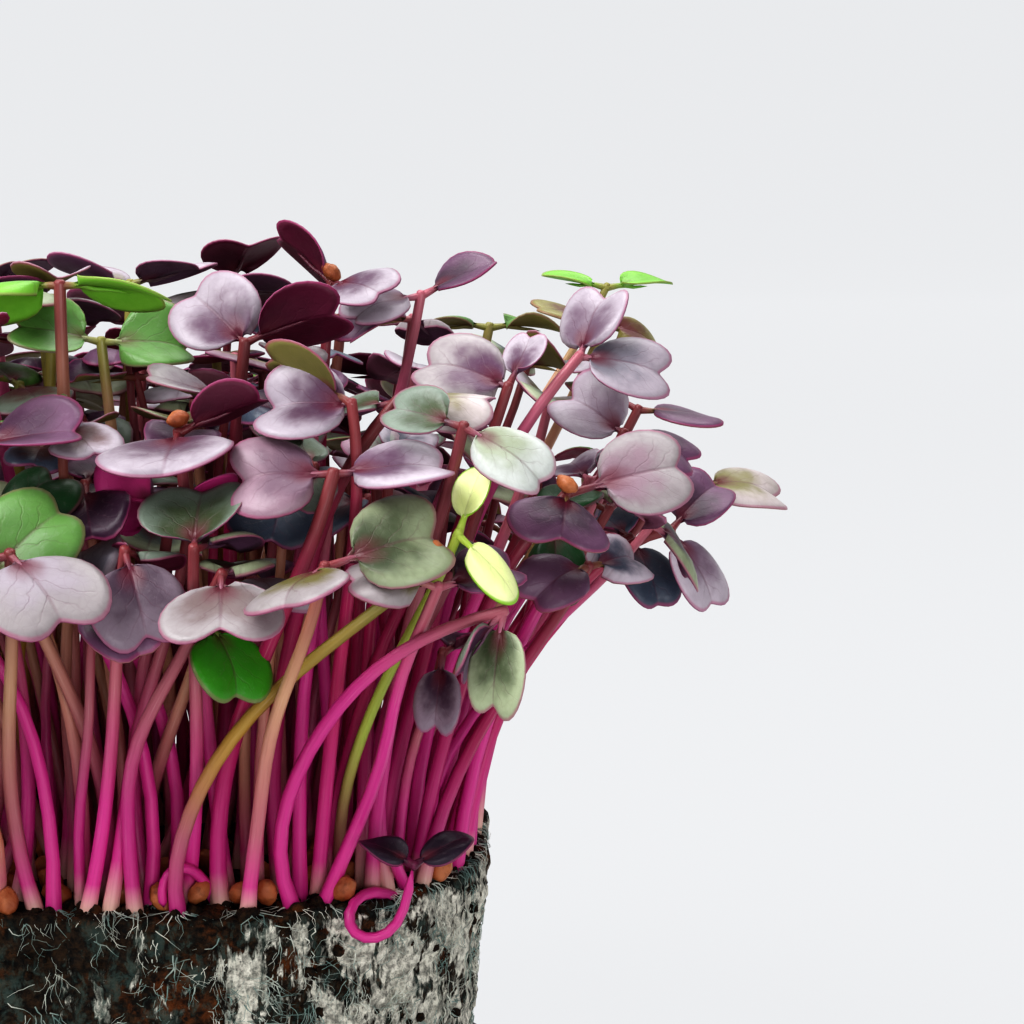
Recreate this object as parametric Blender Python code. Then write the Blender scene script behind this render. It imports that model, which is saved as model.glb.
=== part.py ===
"""Radish microgreens growing in a rooted block of soil, which stands in a plain shallow tray.

Blender units are metres, +Z is up and the front of the block faces -Y. The origin is the centre
of the tray's underside. Lengths below are in millimetres, and toMetres turns them into metres.
"""

import math
import random

import bmesh
import bpy
from mathutils import Matrix, Vector
from mathutils.bvhtree import BVHTree

toMetres = 0.001
up = Vector((0, 0, 1))

# Driving dimensions, in millimetres and degrees
block = {
    "halfLength": 46.0,
    "halfDepth": 40.0,
    "corner": 32.0,
    "taper": 5.5,
    "bottom": 1.9,
    "top": 46.0,
    "edgeRound": 1.6,
}
tray = {
    "floor": 1.5,
    "wall": 1.3,
    "height": 11.0,
    "floorGap": 1.6,
    "flare": 9.0,
    "lip": 3.2,
    "lipDrop": 2.2,
    "baseRound": 2.0,
}
stem = {"radius": 0.85, "rootDepth": 9.0, "holeGap": 0.45, "sides": 4, "rings": 5, "knot": 3.2, "crust": 2.6}
blade = {"thickness": 0.7, "length": 9.8, "width": 11.8, "neck": 2.2}
clearance = 0.4
seedCoat = {"length": 4.0, "width": 3.0, "height": 2.6, "count": 26, "sunk": 0.7}

# Half the outline of a seed leaf, as (degrees from the midrib, share of the length). It is widest
# past the middle, and the first point is the notch at its tip.
lobedOutline = ((0, 0.80), (14, 0.97), (32, 1.03), (54, 0.84), (78, 0.38))
plainOutline = ((0, 1.0), (14, 0.99), (32, 0.90), (54, 0.64), (78, 0.30))
outlineWidth = 0.68


def direction(heading, pitch):
    """Unit vector: heading 0 is +X and 90 is +Y, and pitch is above level, in degrees."""
    h, p = math.radians(heading), math.radians(pitch)
    return Vector((math.cos(h) * math.cos(p), math.sin(h) * math.cos(p), math.sin(p)))


def leaf(heading, pitch, roll, length=None, width=None, **more):
    """A seed leaf by the direction of its midrib and its roll about it, in degrees."""
    along = direction(heading, pitch)
    face = Matrix.Rotation(math.radians(roll), 3, along) @ (up - along * along.z).normalized()
    return leafAlong(along, face, length, width, **more)


def leafAlong(along, face, length=None, width=None, fold=0.22, cup=0.0, arch=0.14, neck=None, plain=False):
    """A seed leaf by its midrib's direction and the side that its upper face looks to."""
    return {
        "along": along,
        "face": face,
        "length": length or blade["length"],
        "width": width or blade["width"],
        "fold": fold,
        "cup": cup,
        "arch": arch,
        "neck": blade["neck"] if neck is None else neck,
        "plain": plain,
    }


def sprout(name, root, apex, leaves, kind="plum", lean=(0, 0), rise=0.42, radius=None, tip=None):
    """One sprout: where its stem leaves the soil, its fork with the height over the soil, its leaves."""
    return {
        "name": name,
        "root": root,
        "apex": Vector(apex) + up * block["top"],
        "leaves": leaves,
        "kind": kind,
        "lean": lean,
        "rise": rise,
        "radius": radius or stem["radius"],
        "tip": tip,
    }


def outlineHalf(inset):
    """Half length, half depth and corner radius of the block's outline, moved in by inset."""
    return block["halfLength"] - inset, block["halfDepth"] - inset, block["corner"] - inset


def edgeDistance(x, y):
    """How far inside the block's top outline a point is."""
    halfX, halfY, corner = outlineHalf(0)
    overX, overY = abs(x) - (halfX - corner), abs(y) - (halfY - corner)
    if overX > 0 and overY > 0:
        return corner - math.hypot(overX, overY)
    return corner - max(overX, overY)


def outwards(x, y):
    """Unit vector in plan from the middle of the block towards its nearest edge."""
    away = Vector((x / block["halfLength"], y / block["halfDepth"], 0))
    return away.normalized() if away.length > 1e-6 else Vector((1, 0, 0))


def stemCurve(one, steps):
    """Points from the soil to the fork, on one Bezier curve, and the direction at its end."""
    start = Vector((*one["root"], block["top"]))
    end = one["apex"]
    span = end - start
    plan = Vector((span.x, span.y, 0))
    lean = Vector((*one["lean"], 0))
    tip = direction(*one["tip"]) if one["tip"] else (plan * 0.85 + up * abs(span.z) * 0.75).normalized()
    first = start + up * span.z * one["rise"] + lean
    second = end - tip * span.length * 0.3
    points = []
    for i in range(steps + 1):
        t = i / steps
        s = 1 - t
        points.append(start * s**3 + first * (3 * s * s * t) + second * (3 * s * t * t) + end * t**3)
    return points, tip


def tube(bm, path, radii, sides, twist=0.4):
    """A closed tube along path, with its rings carried along so that they don't turn."""
    rings = []
    ahead = (path[1] - path[0]).normalized()
    across = ahead.cross(Vector((0.3, 1, 0.2))).normalized()
    for i, point in enumerate(path):
        before, after = path[max(i - 1, 0)], path[min(i + 1, len(path) - 1)]
        ahead = (after - before).normalized()
        across = (across - ahead * across.dot(ahead)).normalized()
        other = ahead.cross(across)
        ring = []
        for k in range(sides):
            turn = twist + 2 * math.pi * k / sides
            out = across * math.cos(turn) + other * math.sin(turn)
            ring.append(bm.verts.new(point + out * radii[i]))
        rings.append(ring)
    for low, high in zip(rings, rings[1:]):
        for k in range(sides):
            n = (k + 1) % sides
            bm.faces.new((low[k], low[n], high[n], high[k]))
    bm.faces.new(list(reversed(rings[0])))
    bm.faces.new(rings[-1])


def bladeHeight(one, x, y):
    """Height of a leaf's surface over its midrib's line, at x along it and y across it."""
    half = one["width"] / 2
    share = x / one["length"]
    return one["fold"] * abs(y) + one["cup"] * half * (y / half) ** 2 - one["arch"] * one["length"] * share**2


def bladePoints(one, grow):
    """The outline of a leaf as a base point, the right side, the notch and the left side."""
    outline = plainOutline if one["plain"] else lobedOutline
    half = one["width"] / 2 + grow
    length = one["length"] + grow
    side = []
    for degrees, share in reversed(outline):
        turn = math.radians(degrees)
        out = share * math.sin(turn) / outlineWidth * half
        side.append((one["neck"] + share * math.cos(turn) * length, out))
    right, notch = side[:-1], side[-1]
    left = [(x, -y) for x, y in reversed(right)]
    return [(0.0, 0.0), *right, notch, *left]


def addBlade(bm, one, apex, grow=0.0):
    """A seed leaf as a thin folded solid, split into the same triangles on both faces."""
    across = one["face"].cross(one["along"])
    half = blade["thickness"] / 2 + grow
    flat = bladePoints(one, grow)
    sheets = []
    for side in (half, -half):
        sheet = []
        for x, y in flat:
            height = bladeHeight(one, max(x - one["neck"], 0), y) + side
            sheet.append(bm.verts.new(apex + one["along"] * x + across * y + one["face"] * height))
        sheets.append(sheet)
    top, bottom = sheets
    count = len(flat)
    notch = count // 2
    for i in list(range(0, notch - 1)) + list(range(notch + 1, count)):
        n = (i + 1) % count
        bm.faces.new((top[notch], top[i], top[n]))
        bm.faces.new((bottom[notch], bottom[n], bottom[i]))
    for i in range(count):
        n = (i + 1) % count
        bm.faces.new((top[i], bottom[i], bottom[n], top[n]))


def stemRadii(one, count, grow=0.0):
    """A stem is thickest at its foot and a fifth thinner at the fork."""
    return [one["radius"] * (1.12 - 0.32 * i / (count - 1)) + grow for i in range(count)]


def addStem(bm, one, end=None, grow=0.0):
    """A sprout's stem, from its end under the soil, if it's given, to just past the fork."""
    points, tip = stemCurve(one, stem["rings"] - 1)
    path = points + [points[-1] + tip * 0.7]
    radii = stemRadii(one, len(path), grow)
    if end:
        path = [end] + path
        radii = [one["radius"] * 0.8 + grow] + radii
    tube(bm, path, radii, stem["sides"])


def sproutTree(one, grow=0.0):
    """The sprout above the soil as a tree of triangles, to test it against the others."""
    bm = bmesh.new()
    addStem(bm, one, grow=grow)
    for each in one["leaves"]:
        addBlade(bm, each, one["apex"], grow)
    bmesh.ops.triangulate(bm, faces=bm.faces)
    tree = BVHTree.FromBMesh(bm)
    bm.free()
    return tree


def loosened(one, draw, amount):
    """The same sprout with its fork and leaves moved a little, by up to amount millimetres."""
    if amount == 0:
        return one
    shift = Vector((draw.uniform(-1, 1), draw.uniform(-1, 1), draw.uniform(-1, 1) * 0.8)) * amount
    leaves = []
    for each in one["leaves"]:
        swing = Matrix.Rotation(math.radians(draw.uniform(-5, 5) * amount), 3, each["face"])
        tilt = Matrix.Rotation(math.radians(draw.uniform(-4, 4) * amount), 3, each["along"])
        leaves.append({**each, "along": tilt @ swing @ each["along"], "face": tilt @ swing @ each["face"]})
    lean = Vector(one["lean"]) + Vector((draw.uniform(-1, 1), draw.uniform(-1, 1))) * amount
    return {**one, "apex": one["apex"] + shift, "leaves": leaves, "lean": lean}


def settle(one, placed, draw, tries=250, most=8.0):
    """Bends a sprout clear of those already placed, a little further at each try."""
    for i in range(tries):
        moved = loosened(one, draw, most * (i / tries) ** 1.3 if i else 0)
        tree = sproutTree(moved, clearance)
        if not any(tree.overlap(other) for other in placed):
            return moved
    return None


def namedTufts():
    """The sprouts that the front and the right-hand end show, by the roots that they share."""
    front = [
        sprout("palePair", (-6, -36.8), (-4, -54.5, 44), [
            leaf(-48, -22, 12, 11, 15, fold=0.05, arch=0.2),
            leaf(192, -12, -20, 9, 11),
        ], lean=(-5, 0)),
        sprout("greyDroop", (0, -37), (7, -48, 43.5), [
            leaf(-62, -48, 14, 10, 11.5, fold=0.12),
            leaf(70, -12, 0, 7.5, 8.5),
        ], lean=(4, 1)),
        sprout("wineFunnel", (-9, -32.8), (-10, -43, 54.5), [
            leaf(0, 12, 26, 10.5, 12, fold=0.45),
            leaf(170, 20, -30, 10, 12, fold=0.4),
        ], lean=(5, 0)),
    ]
    veined = [
        sprout("redHeart", (5.5, -37), (17.5, -49, 40.5), [
            leaf(-92, -32, 0, 9, 13.5, fold=-0.12, arch=0.05),
            leaf(90, 5, 0, 8, 9),
        ], lean=(-3, 0), tip=(-20, 60)),
        sprout("veinedBack", (11, -33.6), (16.5, -48, 44.5), [
            leaf(82, 48, -4, 8.6, 12.6, fold=0.2, neck=1.2),
            leaf(60, 8, 0, 7, 8),
        ], lean=(4, -4)),
        sprout("magentaCurl", (6, -31.5), (10, -44.5, 45), [
            leaf(168, 6, 62, 8, 10, fold=0.35, arch=-0.25),
            leaf(-12, 22, -50, 6.5, 8, arch=-0.2),
        ], lean=(-6, 0)),
    ]
    centre = [
        sprout("stackedPair", (15, -34.2), (30, -45, 51), [
            leaf(182, 2, -52, 10, 11.8, fold=0.2, arch=0.05),
            leaf(2, 6, 22, 11, 11, fold=0.3, arch=0.0),
        ], lean=(-3, 0), tip=(50, 70), radius=1.0),
        sprout("heartFace", (18.5, -37), (26.2, -50, 42.5), [
            leaf(10, 14, 62, 11, 12.8, fold=0.1, arch=0.06, neck=3.6),
            leaf(-128, -12, 14, 8.6, 12.6, fold=-0.1, arch=0.0),
        ], lean=(0, 0)),
        sprout("hullBowl", (15.5, -30.5), (12.5, -39.5, 55), [
            leaf(-95, -18, 0, 9.5, 15.5, fold=0.16, arch=-0.08),
            leaf(8, 24, -42, 8.5, 7.5, fold=0.4),
        ], lean=(-3, 0)),
    ]
    arched = [
        sprout("archedOver", (23.5, -35.3), (48, -48.5, 37), [
            leaf(-112, -70, 0, 10, 7.6, fold=0.18, arch=0.05),
            leaf(188, -46, 20, 7, 7.5),
        ], lean=(-6, -3), rise=0.5, tip=(-4, 14)),
        sprout("foldedPair", (26, -31.2), (31, -41, 58.5), [
            leaf(180, 0, -52, 10.6, 11, fold=0.5, arch=0.0, neck=0.8),
            leaf(158, 34, 46, 9.6, 9, fold=0.3, arch=0.28),
        ], lean=(1, 0), tip=(120, 74)),
        sprout("smallFront", (21.5, -29.5), (36, -38, 59), [
            leaf(-4, 6, 24, 10.4, 9, fold=-0.3, arch=0.1, neck=1.4),
            leaf(165, -8, -10, 8, 9),
        ], lean=(-2, 0), tip=(8, 50), radius=0.95),
    ]
    shoulder = [
        sprout("whitePaddle", (32.3, -29.8), (42, -43.5, 56), [
            leaf(-24, -18, 40, 9.6, 8.6, fold=0.05, arch=0.1),
            leaf(164, 16, -38, 7.6, 7.4, fold=0.05),
        ], lean=(0, 0)),
        sprout("paleSpread", (37.4, -23), (55.2, -36, 48.5), [
            leaf(14, 14, 46, 11, 13, fold=0.04, arch=0.12, neck=4.6),
            leaf(-96, -34, -20, 7.4, 12.4, fold=-0.16, arch=0.0, neck=1.2),
        ], lean=(3, -3), tip=(30, 40)),
        sprout("lavenderSide", (33, -23.8), (48.5, -25, 60), [
            leaf(170, 24, -42, 10.8, 11.6, fold=0.1, neck=1.0),
            leaf(52, 52, 20, 6, 5.6),
        ], lean=(2, 0)),
        sprout("hooked", (36.2, -27), (39, -41.5, 6), [
            leaf(28, 28, 30, 6.2, 4.4, plain=True, neck=1.2),
            leaf(160, 22, -20, 5.6, 4.0, plain=True, neck=1.2),
        ], lean=(-1, -7), rise=1.3, radius=0.7, tip=(-40, -10)),
    ]
    corner = [
        sprout("shadedCup", (41, -17), (62.5, -18, 54), [
            leaf(158, 36, -52, 9.6, 9.8, fold=0.3, cup=0.2, neck=1.0),
            leaf(-20, -14, 20, 8.4, 9),
        ], lean=(4, 0)),
        sprout("butterfly", (38, -11), (57, -22, 63.5), [
            leaf(58, 56, -8, 9.6, 10.6, fold=0.1, arch=0.04, neck=1.4),
            leaf(-6, -6, 46, 10.4, 10, fold=0.06, arch=0.12, neck=1.4),
        ], lean=(-2, 0), tip=(28, 44)),
        sprout("lilacDroop", (43, -12), (69, -8, 41), [
            leaf(-34, -48, 14, 9.4, 8.6, fold=0.15),
            leaf(42, 36, 30, 9, 10, fold=0.25),
        ], lean=(2, 0), tip=(0, 12)),
    ]
    end = [
        sprout("farRight", (43, 4), (73.5, 4, 45.5), [
            leaf(2, 6, 24, 9.8, 10, fold=0.1, arch=0.3),
            leaf(172, 8, -30, 10, 11, fold=0.3),
        ], lean=(2, 0), tip=(0, 30)),
        sprout("slateUnder", (43, -4), (65, -3, 40), [
            leaf(-62, -40, 6, 8.6, 8.4, fold=0.35),
            leaf(118, 18, -12, 8.6, 9),
        ], lean=(2, 0), tip=(-10, 22)),
        sprout("oliveEdge", (41, 10), (66, 9, 55), [
            leaf(-4, -2, 6, 9.8, 8.8, fold=0.05, arch=0.16),
            leaf(158, 30, -8, 8.8, 9.6),
        ], lean=(0, 0)),
    ]
    middle = [
        sprout("pinkArch", (12, -18), (17, -20, 65), [
            leaf(148, 38, -52, 10.6, 12.4, fold=0.2, neck=1.0),
            leaf(8, 26, -56, 11.4, 10.6, fold=0.3, arch=0.3),
        ], lean=(2, 0), radius=1.0),
        sprout("wineTop", (21, -10), (26.5, -8, 72), [
            leaf(142, 42, 60, 9.6, 9, fold=0.24, neck=1.2),
            leaf(-52, 0, 30, 9, 9.4, fold=0.1),
        ], lean=(2, 0)),
        sprout("edgeOn", (27, -6), (34.5, -8, 70), [
            leaf(196, -4, -16, 8.4, 9, fold=0.2),
            leaf(20, 30, 10, 9, 8.4, fold=0.3),
        ], lean=(-3, 0)),
    ]
    singles = [
        sprout("greenHeart", (-14, -34.5), (-8.5, -50, 40), [
            leaf(18, 44, 60, 11, 12.2, fold=0.08, arch=0.05),
            leaf(168, 14, -20, 9.6, 11),
        ], kind="green", lean=(-2, 0)),
        sprout("greenShade", (0.5, -30.5), (-3, -42.5, 47.5), [
            leaf(26, 34, 46, 8.8, 9.6, fold=0.05),
            leaf(-150, 10, 0, 8.6, 9),
        ], kind="green", lean=(2, 0)),
        sprout("greenLow", (3.5, -26.2), (8, -42, 31), [
            leaf(-50, -42, 6, 8.8, 10.6, fold=0.1),
            leaf(120, -12, 0, 7, 8),
        ], kind="green", lean=(0, 0)),
        sprout("umbrella", (-5, -24), (-3, -30, 72), [
            leaf(6, 4, -18, 10.8, 11.6, fold=-0.4, arch=0.3),
            leaf(176, 4, 18, 10.8, 11.6, fold=-0.4, arch=0.3),
        ], kind="green", lean=(3, 0), radius=0.95),
        sprout("rolledGreen", (3.5, -14), (-1, -15.5, 65), [
            leaf(4, 0, 44, 9.8, 11, fold=0.1, cup=0.42, arch=0.05),
            leaf(-160, 14, -40, 9.6, 10.4),
        ], kind="green", lean=(-2, 0)),
        sprout("limeOpen", (28.3, -26.8), (42.5, -46, 47), [
            leaf(62, 62, 0, 6.2, 4.6, fold=0.2, plain=True),
            leaf(-22, -28, 34, 7.4, 4.2, fold=0.3, plain=True),
        ], kind="lime", lean=(0, 0), radius=0.7),
        sprout("ochreLean", (10.5, -37.2), (36.5, -46, 38), [
            leaf(18, 8, 30, 5.6, 6, neck=4.4),
            leaf(150, 20, 0, 5, 5),
        ], kind="green", lean=(0, -8), tip=(8, 34)),
        sprout("deepDroop", (35, -17), (54, -27, 45), [
            leaf(-88, -62, 4, 8.6, 7.8, fold=0.08),
            leaf(70, 20, 0, 8, 8.4),
        ], kind="green", lean=(0, 0)),
        sprout("backOlive", (39, 21), (61.5, 17, 66), [
            leaf(24, -10, 36, 8.8, 7.8, fold=0.12, arch=0.3),
            leaf(196, 20, -10, 8.6, 8.6),
        ], kind="green", lean=(0, 0)),
        sprout("backThin", (33, 28), (62.5, 33, 71), [
            leaf(6, 10, 10, 6.8, 6.2, plain=True),
            leaf(186, 14, 0, 6.8, 6.2, plain=True),
        ], kind="green", lean=(0, 0), radius=0.7),
        sprout("limeArc", (34, 8), (46, 10, 66), [
            leaf(184, 10, 10, 8.2, 7.6, arch=0.36),
            leaf(4, 8, -14, 8.2, 7.6, arch=0.36),
        ], kind="green", lean=(-2, 0)),
    ]
    return [front, veined, centre, arched, shoulder] + [[one] for one in singles] + [corner, end, middle]


def scattered(name, root, draw):
    """A sprout by the rule: those near the edge lean out further and stand lower."""
    x, y = root
    near = max(0.0, min(1.0, 1 - edgeDistance(x, y) / 30))
    away = outwards(x, y)
    reach = 2 + 23 * near**2.2 + draw.uniform(-4, 5)
    apex = Vector((x, y, 0)) + away * reach + Vector((draw.uniform(-6, 6), draw.uniform(-6, 6), 0))
    apex.z = 67 - 25 * near**2 + draw.uniform(-9, 7)
    tip = (Vector((apex.x - x, apex.y - y, 0)) * 0.8 + up * apex.z * 0.75).normalized()
    crown = (tip * 0.75 + away * 0.35 * near + up * 0.25).normalized()
    side = crown.cross(Vector((0, 1, 0.1))).normalized()
    spin = draw.uniform(0, 2 * math.pi)
    leaves = []
    for half in range(2):
        turn = spin + half * math.pi + draw.uniform(-0.3, 0.3)
        level = side * math.cos(turn) + crown.cross(side) * math.sin(turn)
        opened = math.radians(draw.uniform(66, 100))
        along = (crown * math.cos(opened) + level * math.sin(opened)).normalized()
        face = (crown * math.sin(opened) - level * math.cos(opened)).normalized()
        size = draw.uniform(0.82, 1.1)
        width = blade["width"] * size * draw.uniform(0.9, 1.1)
        leaves.append(leafAlong(along, face, blade["length"] * size, width,
                                fold=draw.uniform(-0.12, 0.38), arch=draw.uniform(0.0, 0.28)))
    return sprout(name, root, apex, leaves, lean=(draw.uniform(-5, 5), draw.uniform(-5, 5)),
                  radius=stem["radius"] * draw.uniform(0.85, 1.15))


def rootsInUse(tufts):
    return [one["root"] for tuft in tufts for one in tuft]


def drawnIn(x, y, inset):
    """The point, moved towards the middle until it is far enough inside the block's edge."""
    while edgeDistance(x, y) < inset:
        x, y = x * 0.98, y * 0.98
    return x, y


def scatteredTufts(tufts, placed, draw, spacing=17.6, rootSpread=3.9, keepOff=9.5, apart=13.0):
    """Tufts of three on a staggered grid over the rest of the block, out to its rim, bent clear of the others."""
    made, centres = [], []
    taken = rootsInUse(tufts)
    rows = int(2 * block["halfDepth"] / (spacing * 0.87)) + 1
    columns = int(2 * block["halfLength"] / spacing) + 1
    for row in range(rows):
        for column in range(columns):
            x = (column - (columns - 1) / 2 + 0.5 * (row % 2) - 0.25) * spacing + draw.uniform(-1.2, 1.2)
            y = (row - (rows - 1) / 2) * spacing * 0.87 + draw.uniform(-1.2, 1.2)
            x, y = drawnIn(x, y, rootSpread + 1.4)
            crowded = min(math.hypot(x - a, y - b) for a, b in taken) < keepOff
            if crowded or any(math.hypot(x - a, y - b) < apart for a, b in centres):
                continue
            centres.append((x, y))
            tuft = []
            spin = draw.uniform(0, 2)
            for k in range(3):
                turn = spin + 2 * math.pi * k / 3
                root = (x + rootSpread * math.cos(turn), y + rootSpread * math.sin(turn))
                name = "s%d_%d_%d" % (row, column, k)
                one = None
                for _ in range(6):
                    one = one or settle(scattered(name, root, draw), placed, draw, 16, 6)
                if one:
                    tuft.append(one)
                    placed.append(sproutTree(one))
            if tuft:
                made.append(tuft)
    return made


def blockTree():
    """The block a little full at the sides and low at the top, for stems that lean over its edge."""
    bm = bmesh.new()
    rings = []
    for z in (block["bottom"], block["top"] - 0.8):
        inset = (block["top"] - z) * math.tan(math.radians(block["taper"])) - 0.9
        rings.append([(x, y, z) for x, y in roundedOutline(*outlineHalf(inset), perCorner=5)])
    loft(bm, rings)
    bmesh.ops.triangulate(bm, faces=bm.faces)
    tree = BVHTree.FromBMesh(bm)
    bm.free()
    return tree


def allTufts(seed=11):
    """Every tuft, the named ones first, each sprout bent clear of those before it."""
    draw = random.Random(seed)
    placed, tufts, dropped = [blockTree()], [], []
    for tuft in namedTufts():
        kept = []
        for one in tuft:
            moved = settle(one, placed, draw)
            if moved is None:
                dropped.append(one["name"])
                continue
            kept.append(moved)
            placed.append(sproutTree(moved))
        if kept:
            tufts.append(kept)
    rest = scatteredTufts(tufts, placed, draw)
    return tufts + rest, placed, dropped


def joinPoint(tuft):
    """The middle of the tangle of roots under a tuft, kept off the block's side."""
    count = len(tuft)
    x = sum(one["root"][0] for one in tuft) / count
    y = sum(one["root"][1] for one in tuft) / count
    inwards = outwards(x, y) * min(0.0, edgeDistance(x, y) - 5.2)
    return Vector((x + inwards.x, y + inwards.y, block["top"] - stem["rootDepth"]))


def rootEnds(tuft):
    """Where each stem of a tuft ends in the tangle: side by side, in the order of their feet."""
    join = joinPoint(tuft)
    if len(tuft) == 1:
        return [join]
    ends = []
    for one in tuft:
        out = Vector((one["root"][0] - join.x, one["root"][1] - join.y, 0))
        ends.append(join + out.normalized() * stem["knot"] * 0.38)
    return ends


def material(name, colour, roughness):
    made = bpy.data.materials.new(name)
    made.use_nodes = True
    shader = made.node_tree.nodes["Principled BSDF"]
    shader.inputs["Base Color"].default_value = (*colour, 1)
    shader.inputs["Roughness"].default_value = roughness
    shader.inputs["Metallic"].default_value = 0.0
    return made


def objectFrom(bm, name, finish=None, collection=None):
    """A closed mesh in millimetres made an object in metres."""
    bmesh.ops.recalc_face_normals(bm, faces=bm.faces)
    bmesh.ops.scale(bm, vec=(toMetres,) * 3, verts=bm.verts)
    mesh = bpy.data.meshes.new(name)
    bm.to_mesh(mesh)
    bm.free()
    made = bpy.data.objects.new(name, mesh)
    (collection or bpy.context.scene.collection).objects.link(made)
    if finish:
        mesh.materials.append(finish)
    return made


def combine(target, collection, operation, solver="MANIFOLD"):
    """Joins or cuts a collection's solids in one step, then removes them."""
    step = target.modifiers.new(operation.lower(), "BOOLEAN")
    step.operation = operation
    step.operand_type = "COLLECTION"
    step.collection = collection
    step.solver = solver
    graph = bpy.context.evaluated_depsgraph_get()
    result = bpy.data.meshes.new_from_object(target.evaluated_get(graph))
    target.modifiers.clear()
    target.data = result
    for each in list(collection.objects):
        bpy.data.objects.remove(each)
    bpy.data.collections.remove(collection)


def newCollection(name):
    made = bpy.data.collections.new(name)
    bpy.context.scene.collection.children.link(made)
    return made


def buildTuft(name, tuft, finish):
    """The sprouts of one tuft and the tangle of roots that joins them, as one solid."""
    bm = bmesh.new()
    ends = rootEnds(tuft)
    if len(tuft) > 1:
        flat = Matrix.Diagonal((1, 1, 0.6, 1))
        place = Matrix.Translation(joinPoint(tuft) - up * stem["knot"] * 0.1)
        bmesh.ops.create_cube(bm, size=stem["knot"], matrix=place @ flat)
    else:
        addStem(bm, tuft[0], ends[0])
    target = objectFrom(bm, name, finish)
    others = newCollection(name + "_parts")
    for one, end in zip(tuft, ends):
        if len(tuft) > 1:
            bm = bmesh.new()
            addStem(bm, one, end)
            objectFrom(bm, name + "_stem", None, others)
        for each in one["leaves"]:
            bm = bmesh.new()
            addBlade(bm, each, one["apex"])
            objectFrom(bm, name + "_leaf", None, others)
    combine(target, others, "UNION")
    target.data.shade_smooth()
    target.data.set_sharp_from_angle(angle=math.radians(40))
    return target


def roundedOutline(halfX, halfY, corner, perCorner):
    """Points round a rectangle with round corners, anticlockwise, with the ends of the sides shared."""
    points = []
    for quarter, (sx, sy) in enumerate(((1, 1), (-1, 1), (-1, -1), (1, -1))):
        for k in range(perCorner + 1):
            turn = math.pi / 2 * (quarter + k / perCorner)
            points.append((sx * (halfX - corner) + corner * math.cos(turn),
                           sy * (halfY - corner) + corner * math.sin(turn)))
    return points


def loft(bm, rings):
    """Skins rings of points one above the other and closes both ends."""
    made = [[bm.verts.new(point) for point in ring] for ring in rings]
    for low, high in zip(made, made[1:]):
        for k in range(len(low)):
            n = (k + 1) % len(low)
            bm.faces.new((low[k], low[n], high[n], high[k]))
    bm.faces.new(list(reversed(made[0])))
    bm.faces.new(made[-1])
    return made


def rootRelief(k, level):
    """How far the matted roots stand out of the block's side, at one point of its outline."""
    rib = 0.55 if (k * 7 + level * 2) % 5 == 0 else 0.0
    return rib + 0.3 * math.sin(k * 1.9 + level * 1.3)


def buildSoil(tufts, placed, draw):
    """The block: tapered sides with raised roots, holes for the stems, and seed coats on top."""
    bm = bmesh.new()
    levels = (block["bottom"], 12.0, 23.0, 34.0, block["top"] - block["edgeRound"])
    slope = math.tan(math.radians(block["taper"]))
    rings = []
    for number, z in enumerate(levels):
        inset = (block["top"] - z) * slope
        ring = []
        for k, (x, y) in enumerate(roundedOutline(*outlineHalf(inset), perCorner=9)):
            out = outwards(x, y) * (rootRelief(k, number) if number else 0)
            ring.append((x + out.x, y + out.y, z))
        rings.append(ring)
    rim = roundedOutline(*outlineHalf(block["edgeRound"]), perCorner=9)
    rings.append([(x, y, block["top"]) for x, y in rim])
    loft(bm, rings)
    bmesh.ops.triangulate(bm, faces=bm.faces)
    soil = objectFrom(bm, "soil_block", material("soil", (0.05, 0.03, 0.02), 0.95))
    addSeedCoats(soil, tufts, placed, draw)
    cutHoles(soil, tufts)
    soil.data.shade_flat()
    return soil


def addHollow(tuft, ends, holes):
    """The space for a tuft's tangled roots: the hull round its stems from a little way down."""
    bm = bmesh.new()
    join = joinPoint(tuft)
    half = stem["knot"] / 2 + stem["holeGap"]
    corners = [(join, z, half) for z in (join.z - half, join.z + half)]
    for one, end in zip(tuft, ends):
        foot = Vector((*one["root"], block["top"]))
        share = stem["crust"] / stem["rootDepth"]
        corners.append((foot.lerp(end, share), block["top"] - stem["crust"], 1.5))
    for middle, z, out in corners:
        for sx, sy in ((1, 1), (-1, 1), (-1, -1), (1, -1)):
            bm.verts.new((middle.x + sx * out, middle.y + sy * out, z))
    bmesh.ops.convex_hull(bm, input=bm.verts)
    loose = [v for v in bm.verts if not v.link_faces]
    bmesh.ops.delete(bm, geom=loose, context="VERTS")
    bmesh.ops.dissolve_limit(bm, angle_limit=0.01, verts=bm.verts, edges=bm.edges)
    objectFrom(bm, "hollow", None, holes)


def cutHoles(soil, tufts):
    """A plain hole round each stem, down to the hollow that holds the tuft's tangled roots."""
    holes = newCollection("holes")
    for tuft in tufts:
        ends = rootEnds(tuft)
        deep = 1.0
        if len(tuft) > 1:
            addHollow(tuft, ends, holes)
            deep = (stem["crust"] + 1) / stem["rootDepth"]
        for one, end in zip(tuft, ends):
            bm = bmesh.new()
            foot = Vector((*one["root"], block["top"]))
            ahead = (foot - end).normalized()
            width = one["radius"] * 1.12 + stem["holeGap"] * 1.5
            low = foot.lerp(end, deep) - ahead * (0.6 if deep == 1 else 0)
            tube(bm, [low, foot + ahead * 4], [width, width * 1.15], stem["sides"])
            objectFrom(bm, "hole", None, holes)
    combine(soil, holes, "DIFFERENCE")


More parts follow.
